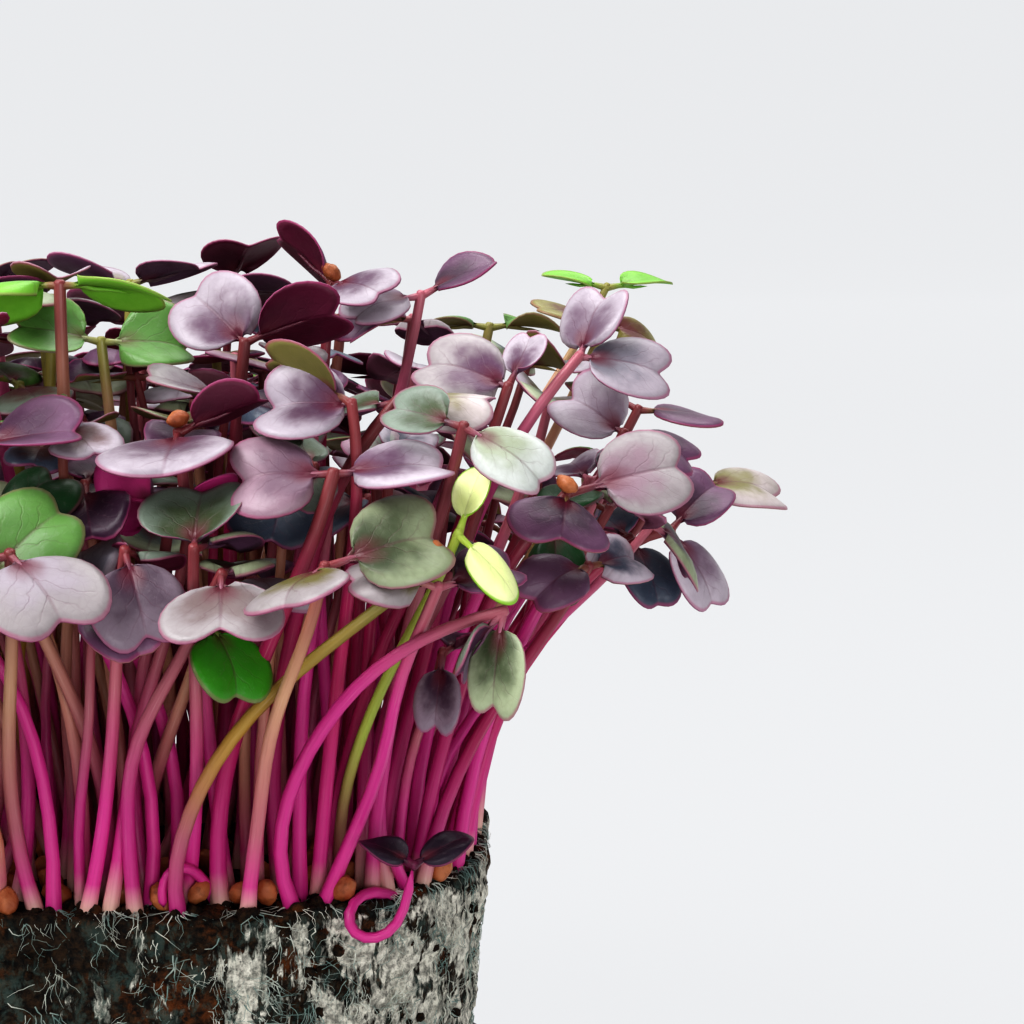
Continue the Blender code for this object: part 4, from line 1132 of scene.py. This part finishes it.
# Sprouts whose stems cross in front, with small leaves turned to the back: root, fork, lean, rise and look
frontRows = (
    ((-15, -33), (17, -39, 37), (8, 0), 0.3, "tan"), ((-4, -36.6), (-15, -40, 42), (2, 0), 0.5, "pink"),
    ((2.5, -36.8), (14, -38, 46), (6, 0), 0.5, "usual"),
    ((-1.5, -33), (-6.5, -40, 46), (3, -2), 0.5, "tan"), ((6.8, -34.2), (-5, -36, 48), (3, 0), 0.5, "pink"),
    ((8.8, -30.6), (-2, -34, 46), (4, 0), 0.5, "pink"), ((2.6, -33.4), (8, -39, 44), (-7, 0), 0.5, "tan"),
    ((17.8, -36.4), (14, -37, 50), (4, 0), 0.6, "ochre"), ((20.6, -32), (16, -35, 50), (-3, 0), 0.5, "tan"),
    ((29.2, -33.2), (14, -34, 52), (-4, 0), 0.5, "pink"),
    ((24, -31.6), (27, -36, 50), (-4, 0), 0.6, "pink"), ((33, -30.4), (17, -32, 52), (-3, 2), 0.4, "pink"),
    ((31, -26.5), (35, -33, 52), (0, 0), 0.6, "red"), ((35.4, -20), (33, -30, 52), (-2, 0), 0.6, "red"),
    ((34.2, -29), (45, -30, 46), (-4, -1), 0.6, "usual"), ((38.6, -25), (47, -30, 44), (0, 0), 0.6, "pink"),
    ((39.6, -20.4), (52, -26, 46), (0, 0), 0.6, "usual"), ((42, -18), (55, -18, 46), (0, 0), 0.6, "pink"),
    ((41.6, -14.6), (61, -12, 44), (0, 0), 0.6, "red"), ((43.4, -8), (62, -8, 46), (0, 0), 0.6, "pink"),
    ((44.2, -4), (60, -4, 41), (0, 0), 0.6, "pink"), ((44.0, 1), (64, 3, 42), (0, 0), 0.6, "red"),
    ((43.6, 6), (66, 8, 44), (0, 0), 0.6, "pink"), ((40.5, -11), (58, -14, 47), (0, 0), 0.6, "pink"),
    ((38.2, -15), (54, -21, 48), (0, 0), 0.5, "red"), ((40.6, -5), (62, -5, 50), (0, 0), 0.55, "pink"),
    ((36.8, -21), (50, -27, 48), (0, 0), 0.5, "pink"), ((40.8, 3), (68, 0, 48), (0, 0), 0.5, "red"),
    ((32.6, -24), (44, -30, 47), (0, 0), 0.5, "pink"), ((27, -26), (41, -33, 48), (0, 0), 0.4, "red"),
    ((-12, -34), (-24, -38, 40), (-2, 0), 0.5, "pink"), ((12, -37.2), (-4, -41, 40), (2, 0), 0.4, "tan"),
)
bareRows = (1, 3, 4, 5)  # these have no leaves


def frontFill(draw):
    for number, (root, apex, lean, rise, look) in enumerate(frontRows):
        leaves = [leaf(draw.uniform(start, start + 40), draw.uniform(0, 30), draw.uniform(-30, 30), 7, 7.5)
                  for start in (40, 110)]
        if number in bareRows:
            leaves = []
        yield sprout("front_%d" % number, root, apex, leaves, lean=lean, rise=rise), look


# Young stems that hang over the block's edge in a hook, by points with the height over the soil
hookedStems = (
    (((36, -28.5, -1), (33, -31.5, 1.4), (30.6, -34.4, 1.2), (29.6, -36, -0.8), (30.6, -37, -2.8),
      (33, -37.2, -3.4), (35.4, -36.8, -2.4), (36.8, -36, 0.2)), "pink"),
    (((14.6, -33, -1), (13.4, -34.6, 3), (11.6, -36, 5.2), (9.4, -37, 5), (8.6, -37.4, 2.8),
      (8.9, -37.4, 0.6)), "pink"),
)


def addHooked(bm, kit, knots, look, end):
    knots = np.array([*knots, *end]) + (0, 0, block["top"])
    rows = kit["stemRows"]
    t = np.linspace(0, len(knots) - 1, rows)
    path = np.column_stack([np.interp(t, np.arange(len(knots)), knots[:, axis]) for axis in range(3)])
    for _ in range(2):
        path[1:-1] = (path[:-2] + path[1:-1] * 2 + path[2:]) / 4
    radii = np.linspace(0.74, 0.56, rows)
    radii[-1] = 0
    colours = [blendTones(look, 0.1 + 0.3 * i / rows) for i in range(rows)]
    addTube(bm, kit["stem"], kit["stemPoints"], path, radii, colours)


def fillSprouts(kit, tufts, placed, skins):
    draw = random.Random(33)
    feet = rootsInUse(tufts)
    made = []

    def keep(one, look, most, tries):
        for i in range(tries):
            moved = loosened(one, draw, most * i / tries)
            tree = sproutTree(moved)
            if not any(tree.overlap(other) for other in placed):
                feet.append(tuple(one["root"]))
                placed.append(tree)
                made.append((moved, look))
                return True
        return False

    for name, roots, apex, rows in shadeFill:
        leaves = [leaf(*row, arch=0.05) for row in rows]
        for root in roots:
            if keep(sprout(name, root, apex, leaves, radius=0.7), None, 5, 40):
                break
    print("leaves in the shade", len(made))
    # where leaves find no room in front, the stem stands alone and ends among the others' leaves
    for one, look in frontFill(draw):
        if not keep(one, look, 3, 12):
            one["leaves"] = []
            keep(one, look, 5, 30)
    print("front stems", len(made))
    for _ in range(filling["draws"]):
        if len(made) >= filling["count"]:
            break
        spot = anySpot(draw)
        if edgeDistance(*spot) < filling["inset"] or nearest(spot, feet) < filling["gap"]:
            continue
        one = scattered("filler", spot, draw)
        for axis in (0, 1):
            one["apex"][axis] = min(filling["high"][axis], max(filling["low"][axis], one["apex"][axis]))
        sunk = draw.choice(filling["sunk"]) * draw.uniform(0.6, 1)
        one["apex"].z = max(filling["lowest"], one["apex"].z - sunk)
        for each in one["leaves"]:
            each["length"] *= filling["size"]
            each["width"] *= filling["size"]
            each["fold"] = draw.uniform(0.0, 0.6)
            each["arch"] = draw.uniform(0.0, 0.4)
        one["radius"] *= filling["thin"]
        one["lean"] = (draw.uniform(-10, 10), draw.uniform(-5, 5))
        keep(one, None, filling["move"], filling["tries"])
    leafy = len(made)
    for _ in range(shading["draws"]):
        if len(made) >= leafy + shading["count"]:
            break
        x, y = draw.uniform(-40, 40), draw.uniform(-20, 32)
        if edgeDistance(x, y) < shading["inset"] or nearest((x, y), feet) < filling["gap"]:
            continue
        top = (x + draw.uniform(-9, 9), y + draw.uniform(-5, 5), draw.uniform(40, 50))
        lean = (draw.uniform(-6, 6), draw.uniform(-3, 3))
        one = sprout("shaded", (x, y), top, [], lean=lean, radius=stem["radius"] * shading["thin"])
        keep(one, None, shading["move"], shading["tries"])
    size = filling["group"]
    for group in range(math.ceil(len(made) / size)):
        bm = newPlant()
        for one, look in made[group * size:(group + 1) * size]:
            addSprout(bm, kit, one, draw, look)
        if group == 0:
            fork = forkOf(tufts, "hooked")
            for (path, look), end in zip(hookedStems, ([fork - up * block["top"]], [])):
                addHooked(bm, kit, path, look, end)
        finishPlant(bm, "more_sprouts_%d" % (group + 1), "plum", skins["plum"])
    print("filling sprouts", len(made))
    return feet


soilLook = {"voxel": 0.85, "crumb": 1.0, "lump": 0.8, "grit": 0.5, "inset": 0.3, "rim": 0.9, "lift": 0.2,
            "crumbs": 700, "smallest": 0.35, "largest": 1.0, "byFoot": 5, "nearEdge": 9}
matLook = {"even": 0.32, "right": 0.6, "from": 8, "over": 26, "patchy": 0.3, "tuft": 0.5, "tuftAt": 18,
           "tuftWidth": 1.7}


def soilSolid():
    bm = bmesh.new()
    bmesh.ops.create_cube(bm, size=1.0)
    halfX, halfY, corner = outlineHalf(soilLook["inset"])
    shrink = (block["top"] - block["bottom"]) * math.tan(math.radians(block["taper"]))
    for v in bm.verts:
        less = 0 if v.co.z > 0 else shrink
        high = block["top"] if v.co.z > 0 else block["bottom"] + soilLook["lift"]
        v.co = (math.copysign(halfX - less, v.co.x), math.copysign(halfY - less, v.co.y), high)
    uprights = [e for e in bm.edges if abs(e.verts[0].co.z - e.verts[1].co.z) > 1]
    roundEdges(bm, uprights, corner, 14)
    rim = [e for e in bm.edges if all(v.co.z > block["top"] - 0.01 for v in e.verts)]
    roundEdges(bm, rim, soilLook["rim"], 3)
    bmesh.ops.recalc_face_normals(bm, faces=bm.faces)
    bmesh.ops.scale(bm, vec=(toMetres,) * 3, verts=bm.verts)
    return bm


def buildSoilPiece(skin):
    rough = addObject("rough_soil", meshFrom(soilSolid(), "rough_soil"))
    step = rough.modifiers.new("even", "REMESH")
    step.mode = "VOXEL"
    step.voxel_size = soilLook["voxel"] * toMetres
    graph = bpy.context.evaluated_depsgraph_get()
    bm = bmesh.new()
    bm.from_object(rough, graph)
    bpy.data.objects.remove(rough)
    bm.normal_update()
    mat = bm.verts.layers.float.new("matting")
    moves = []
    for v in bm.verts:
        p = v.co / toMetres
        low = max(0.0, min(1.0, (p.z - 3) / 5))
        lump = noise.noise(p * 0.16) * soilLook["lump"]
        crumb = (0.55 - noise.voronoi(p * 0.36)[0][0]) * soilLook["crumb"]
        grit = noise.noise(p * 1.1) * soilLook["grit"]
        moves.append(v.normal * (lump + crumb + grit) * low * toMetres)
        side = 1 - min(1.0, max(0.0, v.normal.z))
        right = max(0.0, min(1.0, (p.x - matLook["from"]) / matLook["over"]))
        tuft = math.exp(-((p.x - matLook["tuftAt"]) / matLook["tuftWidth"]) ** 2) * (p.y < 0)
        tuft = tuft * min(1.0, max(0.0, (block["top"] - 3.5 - p.z) / 2))
        patchy = matLook["patchy"] * noise.noise(p * 0.12)
        v[mat] = side * (matLook["even"] + matLook["right"] * right + patchy + matLook["tuft"] * tuft)
    for v, move in zip(bm.verts, moves):
        v.co += move
    shadeSmooth(bm)
    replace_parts(finishPiece(bm, "crumbly_soil", "soil", [skin], scale=1), "soil_block")


tray = {"floor": 1.5, "wall": 1.3, "height": 11.0, "gap": 1.6, "flare": 9.0, "lip": 3.2, "lipDrop": 2.2,
        "baseRound": 2.0, "perCorner": 24, "edgeRound": 0.3}


def buildTrayPiece(skin):
    inset = (block["top"] - block["bottom"]) * math.tan(math.radians(block["taper"]))
    halfX, halfY, corner = (size + tray["gap"] for size in outlineHalf(inset))
    coreX, coreY = halfX - corner, halfY - corner
    flare = math.tan(math.radians(tray["flare"]))
    wall, lip, top, low = tray["wall"], tray["lip"], tray["height"], tray["baseRound"]
    inner = flare * (top - tray["floor"])
    under = top - tray["lipDrop"] - wall
    profile = ((wall - low, 0.0), (wall - low * 0.4, 0.2), (wall + flare * low * 0.5, low * 0.8),
               (wall + inner - 0.4, top - wall - 0.2), (inner + lip, top - wall - 0.2), (inner + lip, under),
               (wall + inner + lip, under), (wall + inner + lip, top - 0.8), (wall + inner + lip - 0.8, top),
               (inner, top), (0.3, tray["floor"] + 1.2), (-1.0, tray["floor"]))

    # each point of a ring lies straight out from the centre of its corner
    def setRing(verts, out, high):
        for v in verts:
            centre = Vector((max(-coreX, min(coreX, v.co.x)), max(-coreY, min(coreY, v.co.y)), 0))
            away = (v.co - centre) * Vector((1, 1, 0))
            v.co = centre + away.normalized() * (corner + out) + up * high

    bm = bmesh.new()
    steps = tray["perCorner"]
    ring = bmesh.ops.create_circle(bm, segments=4 * steps, radius=1.0)["verts"]
    for i, v in enumerate(ring):
        turn = math.radians(90 * (i // steps + i % steps / (steps - 1)))
        middle = math.radians(90 * (i // steps) + 45)
        v.co = (math.copysign(coreX, math.cos(middle)) + math.cos(turn) * corner,
                math.copysign(coreY, math.sin(middle)) + math.sin(turn) * corner, 0)
    setRing(ring, *profile[0])
    edges = bm.edges[:]
    bmesh.ops.contextual_create(bm, geom=edges)
    for out, high in profile[1:]:
        grown = bmesh.ops.extrude_edge_only(bm, edges=edges)["geom"]
        ring = {g for g in grown if isinstance(g, bmesh.types.BMVert)}
        setRing(ring, out, high)
        edges = [e for e in bm.edges if e.verts[0] in ring and e.verts[1] in ring]
    bmesh.ops.contextual_create(bm, geom=edges)
    bmesh.ops.recalc_face_normals(bm, faces=bm.faces)
    hard = [e for e in bm.edges if e.calc_face_angle(0) > math.radians(25)]
    roundEdges(bm, hard, tray["edgeRound"], 3)
    for face in bm.faces:
        face.smooth = len(face.verts) < 9
    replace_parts(finishPiece(bm, "fine_tray", "tray_plastic", [skin]), "tray")


rootLook = {"clumps": 420, "hairs": 9, "long": 260, "steps": 6, "thick": 0.12, "thin": 0.02, "out": 0.3,
            "crown": 12, "crownBelow": 6, "down": -1.57, "round": 43}


# A point on the block's side: its turn round the middle, in radians, its height, and how far out it stands
def sidePoint(turn, z, out):
    inset = (block["top"] - z) * math.tan(math.radians(block["taper"])) + 0.5 - out
    halfX, halfY, corner = outlineHalf(inset)
    ray = Vector((math.cos(turn), math.sin(turn)))
    low, high = 0.0, 80.0
    for _ in range(18):
        middle = (low + high) / 2
        overX, overY = abs(ray.x * middle) - (halfX - corner), abs(ray.y * middle) - (halfY - corner)
        far = math.hypot(max(overX, 0), max(overY, 0)) if overX > 0 and overY > 0 else max(overX, overY)
        low, high = (low, middle) if far > corner else (middle, high)
    return Vector((ray.x * low, ray.y * low, z))


def rootPath(draw, turn, z, heading, step, bend):
    path = []
    for _ in range(rootLook["steps"]):
        path.append(sidePoint(turn, z, rootLook["out"] + draw.uniform(-0.2, 0.5)))
        heading += draw.gauss(0, bend)
        turn += math.cos(heading) * step / rootLook["round"]
        z = min(block["top"] - 0.6, max(5.0, z + math.sin(heading) * step))
    return np.array(path)


# From a foot outwards over the soil, and down the side once it is past the edge
def crownPath(draw, x, y):
    away = outwards(x, y)
    turn = math.atan2(away.y, away.x) + draw.gauss(0, 0.9)
    step = draw.uniform(0.45, 0.95)
    spot = Vector((x + math.cos(turn) * 0.6, y + math.sin(turn) * 0.6, block["top"] + 0.4))
    path = [spot]
    while len(path) < rootLook["steps"]:
        turn += draw.gauss(0, 0.25)
        ahead = Vector((spot.x + math.cos(turn) * step, spot.y + math.sin(turn) * step, spot.z - 0.12))
        if edgeDistance(ahead.x, ahead.y) < 0.3:
            ahead = sidePoint(math.atan2(spot.y, spot.x) + draw.gauss(0, 0.012), spot.z - step, 0.35)
        spot = ahead
        path.append(spot)
    return np.array(path)


# Grains of soil on the sides and the top
def buildCrumbs(feet, skin):
    draw = random.Random(14)
    bm = bmesh.new()
    places = []
    for _ in range(soilLook["crumbs"]):
        if draw.random() < 0.3:
            turn = draw.uniform(-math.pi, math.pi)
            places.append(sidePoint(turn, draw.uniform(14, block["top"] - 1), -0.1))
        else:
            turn = draw.uniform(-math.pi, math.pi)
            edge = sidePoint(turn, block["top"], -draw.uniform(0.4, 8) - draw.uniform(0, 8))
            places.append(edge + up * 0.1)
    for x, y in feet:
        if y < 0 and edgeDistance(x, y) < soilLook["nearEdge"]:
            for _ in range(soilLook["byFoot"]):
                turn = draw.uniform(0, 6.3)
                out = draw.uniform(0.9, 1.5)
                high = block["top"] + draw.uniform(0, 0.3)
                places.append(Vector((x + math.cos(turn) * out, y + math.sin(turn) * out, high)))
    for place in places:
        size = draw.uniform(soilLook["smallest"], soilLook["largest"]) * draw.uniform(0.5, 1)
        made = bmesh.ops.create_icosphere(bm, subdivisions=2, radius=size)["verts"]
        for v in made:
            v.co *= 1 + 0.45 * noise.noise(v.co / size * 1.3 + place)
        bmesh.ops.translate(bm, vec=place, verts=made)
    finishPiece(bm, "soil_crumbs", "soil", [skin])


# Bundles of fine hairs that spray downwards, thickest towards the right, and longer roots between them
def buildRoots(feet, skin):
    draw = random.Random(8)
    bm = newPlant()
    flat = flatTube(rootLook["steps"] - 1, 3, "flat_root")
    points = flatPoints(flat)
    paths = []
    for _ in range(rootLook["clumps"]):
        turn = draw.uniform(-math.pi, math.pi)
        z = draw.uniform(8, block["top"] - 1)
        if math.cos(turn + 0.5) < draw.uniform(-1.8, 0.7):
            continue
        aim = draw.gauss(rootLook["down"], 0.5)
        tall = draw.uniform(0.5, 1.3)
        for _ in range(rootLook["hairs"]):
            place = (turn + draw.uniform(-0.03, 0.03), z + draw.uniform(-2, 2))
            path = rootPath(draw, *place, aim + draw.gauss(0, 0.55), draw.uniform(0.25, 0.8), 0.3)
            paths.append((path, rootLook["thick"] * draw.uniform(0.3, 0.9) * tall))
    for x, y in feet:
        if edgeDistance(x, y) < rootLook["crownBelow"]:
            for _ in range(rootLook["crown"]):
                paths.append((crownPath(draw, x, y), rootLook["thick"] * draw.uniform(0.5, 1.2)))
    for _ in range(rootLook["long"]):
        place = (draw.uniform(-math.pi, math.pi), draw.uniform(6, block["top"] - 1))
        path = rootPath(draw, *place, draw.gauss(rootLook["down"], 0.9), draw.uniform(0.7, 1.3), 0.45)
        paths.append((path, rootLook["thick"] * draw.uniform(0.4, 0.9)))
    for path, thick in paths:
        radii = np.linspace(thick, rootLook["thin"], rootLook["steps"])
        addTube(bm, flat, points, path, radii, [stemTones["cream"]] * rootLook["steps"])
    for face in bm.faces:
        face.material_index = 0
    print("roots", len(paths))
    finishPlant(bm, "side_roots", "soil", [skin])


coatLook = {
    "length": 4.0, "width": 3.0, "height": 2.7, "pointed": 0.22, "uneven": 0.16, "clear": 2.2, "apart": 3.0,
    "inset": 1.8, "rimward": 30, "count": 110, "draws": 9000, "carriedSize": 0.7,
    "carried": (("hullBowl", (0, -0.5, 1.6)), ("paleSpread", (0, -0.9, 1.2)), ("wineTop", (0, -0.5, 1.4)),
                ("limeOpen", (-2.5, -1.0, -1.5))),
    "front": ((-9.0, -38.0), (-3.0, -34.0), (0.6, -33.0), (3.8, -33.6), (9.6, -38.2), (12.6, -35.4),
              (18.6, -37.4), (22.0, -36.8), (24.8, -36.8), (29.0, -30.6), (35.2, -29.0), (37.6, -26.6),
              (40.4, -24.0), (42.4, -19.4), (40.6, -16.6), (8.0, -33.0), (15.6, -33.8)),
}


def addCoat(bm, place, turn, size, tilt):
    made = bmesh.ops.create_icosphere(bm, subdivisions=3, radius=0.5)["verts"]
    for v in made:
        ends = 1 - coatLook["pointed"] * max(0.0, v.co.x) * 2
        v.co.y *= ends
        v.co.z *= ends
        v.co += v.co * noise.noise(v.co * 4 + Vector(place)) * coatLook["uneven"]
    sizes = [coatLook[key] * size for key in ("length", "width", "height")]
    bmesh.ops.scale(bm, vec=sizes, verts=made)
    spin = Matrix.Translation(place) @ Matrix.Rotation(turn, 4, "Z") @ Matrix.Rotation(tilt, 4, "Y")
    bmesh.ops.transform(bm, matrix=spin, verts=made)


def buildCoats(feet, tufts, skin):
    draw = random.Random(4)
    bm = bmesh.new()
    places = [spot for spot in coatLook["front"] if nearest(spot, feet) > coatLook["clear"]]
    for _ in range(coatLook["draws"]):
        if len(places) == coatLook["count"]:
            break
        spot = anySpot(draw)
        inside = edgeDistance(*spot)
        if inside < coatLook["inset"] or draw.random() < inside / coatLook["rimward"]:
            continue
        if nearest(spot, feet) >= coatLook["clear"] and nearest(spot, places) > coatLook["apart"]:
            places.append(spot)
    for x, y in places:
        place = (x, y, block["top"] + draw.uniform(0.9, 2.0))
        turn, size = draw.uniform(0, 6.3), draw.uniform(0.8, 1.12)
        addCoat(bm, place, turn, size, draw.choice((-1, 1)) * draw.uniform(0.1, 1.3))
    for name, shift in coatLook["carried"]:
        place = forkOf(tufts, name) + Vector(shift)
        addCoat(bm, place, draw.uniform(0, 6.3), coatLook["carriedSize"], draw.uniform(-0.8, 0.8))
    shadeSmooth(bm)
    finishPiece(bm, "seed_coats", "soil", [skin])


camera = {"place": (49, -290, 121), "downDegrees": 6.42, "lens": 79.1}


def setCamera():
    data = bpy.data.cameras.new("view")
    data.lens = camera["lens"]
    data.clip_start = 0.01
    made = addObject("view", data)
    made.location = Vector(camera["place"]) * toMetres
    made.rotation_euler = (math.radians(90 - camera["downDegrees"]), 0, 0)
    bpy.context.scene.camera = made


studio = {"floor": tone(238, 239, 241), "sky": tone(236, 238, 240), "skyStrength": 0.26, "glow": 0.675,
          "base": 0.03, "reach": 12.0, "steps": 16}
lamps = {
    "window": {"place": (-0.45, -0.35, 0.75), "aim": (0.02, 0, 0.1), "size": 0.55, "watts": 6.6},
    "over": {"place": (0.15, 0.25, 0.85), "aim": (0.02, 0, 0.1), "size": 0.6, "watts": 3.6},
    "low": {"place": (0.2, -0.64, 0.06), "aim": (0.02, 0, 0.05), "size": 0.3, "watts": 1.3},
}


def setStudio():
    world = bpy.data.worlds.new("studio")
    bpy.context.scene.world = world
    world.use_nodes = True
    back = world.node_tree.nodes["Background"]
    back.inputs["Color"].default_value = (*studio["sky"], 1)
    back.inputs["Strength"].default_value = studio["skyStrength"]
    for name, lamp in lamps.items():
        data = bpy.data.lights.new(name, "AREA")
        data.energy = lamp["watts"]
        data.size = lamp["size"]
        made = addObject(name, data)
        made.visible_camera = False
        made.location = lamp["place"]
        ray = Vector(lamp["aim"]) - Vector(lamp["place"])
        made.rotation_euler = ray.to_track_quat("-Z", "Y").to_euler()
    bm = bmesh.new()
    reach = studio["reach"]
    bmesh.ops.create_grid(bm, x_segments=1, y_segments=1, size=reach)
    far = [e for e in bm.edges if all(v.co.y > reach - 0.1 for v in e.verts)]
    raised = bmesh.ops.extrude_edge_only(bm, edges=far)["geom"]
    bmesh.ops.translate(bm, vec=(0, 0, reach), verts=[g for g in raised if isinstance(g, bmesh.types.BMVert)])
    corner = [e for e in bm.edges if all(v.co.z < 0.01 and v.co.y > reach - 0.1 for v in e.verts)]
    roundEdges(bm, corner, reach * 0.5, studio["steps"])
    shadeSmooth(bm)
    floor = addObject("floor", meshFrom(bm, "floor"))
    paint = Paint("pale_floor", {
        "Roughness": 0.9, "Specular IOR Level": 0.1, "Base Color": (*(studio["base"],) * 3, 1),
        "Emission Color": (*studio["floor"], 1), "Emission Strength": studio["glow"]})
    floor.data.materials.append(paint.material)


bpy.context.scene.view_settings.view_transform = "Standard"
bpy.context.scene.view_settings.look = "High Contrast"
setCamera()
setStudio()
print("camera and studio set")
tufts, placed = allTufts()
kit = sproutKit(8, 30, 20, 8)
stems = stemSkin("stem_skin")
leafLooks = {"plum": leafSkinLook, "green": greenSkinLook, "lime": limeSkinLook}
skins = {kind: [leafSkin(kind + "_leaf", look), stems] for kind, look in leafLooks.items()}
dressTufts(kit, tufts, skins)
print("sprouts dressed", sum(len(tuft) for tuft in tufts))
feet = fillSprouts(sproutKit(5, 20, 15, 6, 5), tufts, placed, skins)
buildSoilPiece(soilSkin())
buildRoots(feet, rootSkin())
buildCrumbs(feet, crumbSkin())
buildCoats(feet, tufts, coatSkin())
buildTrayPiece(traySkin())
print("soil, roots, seed coats and tray made")
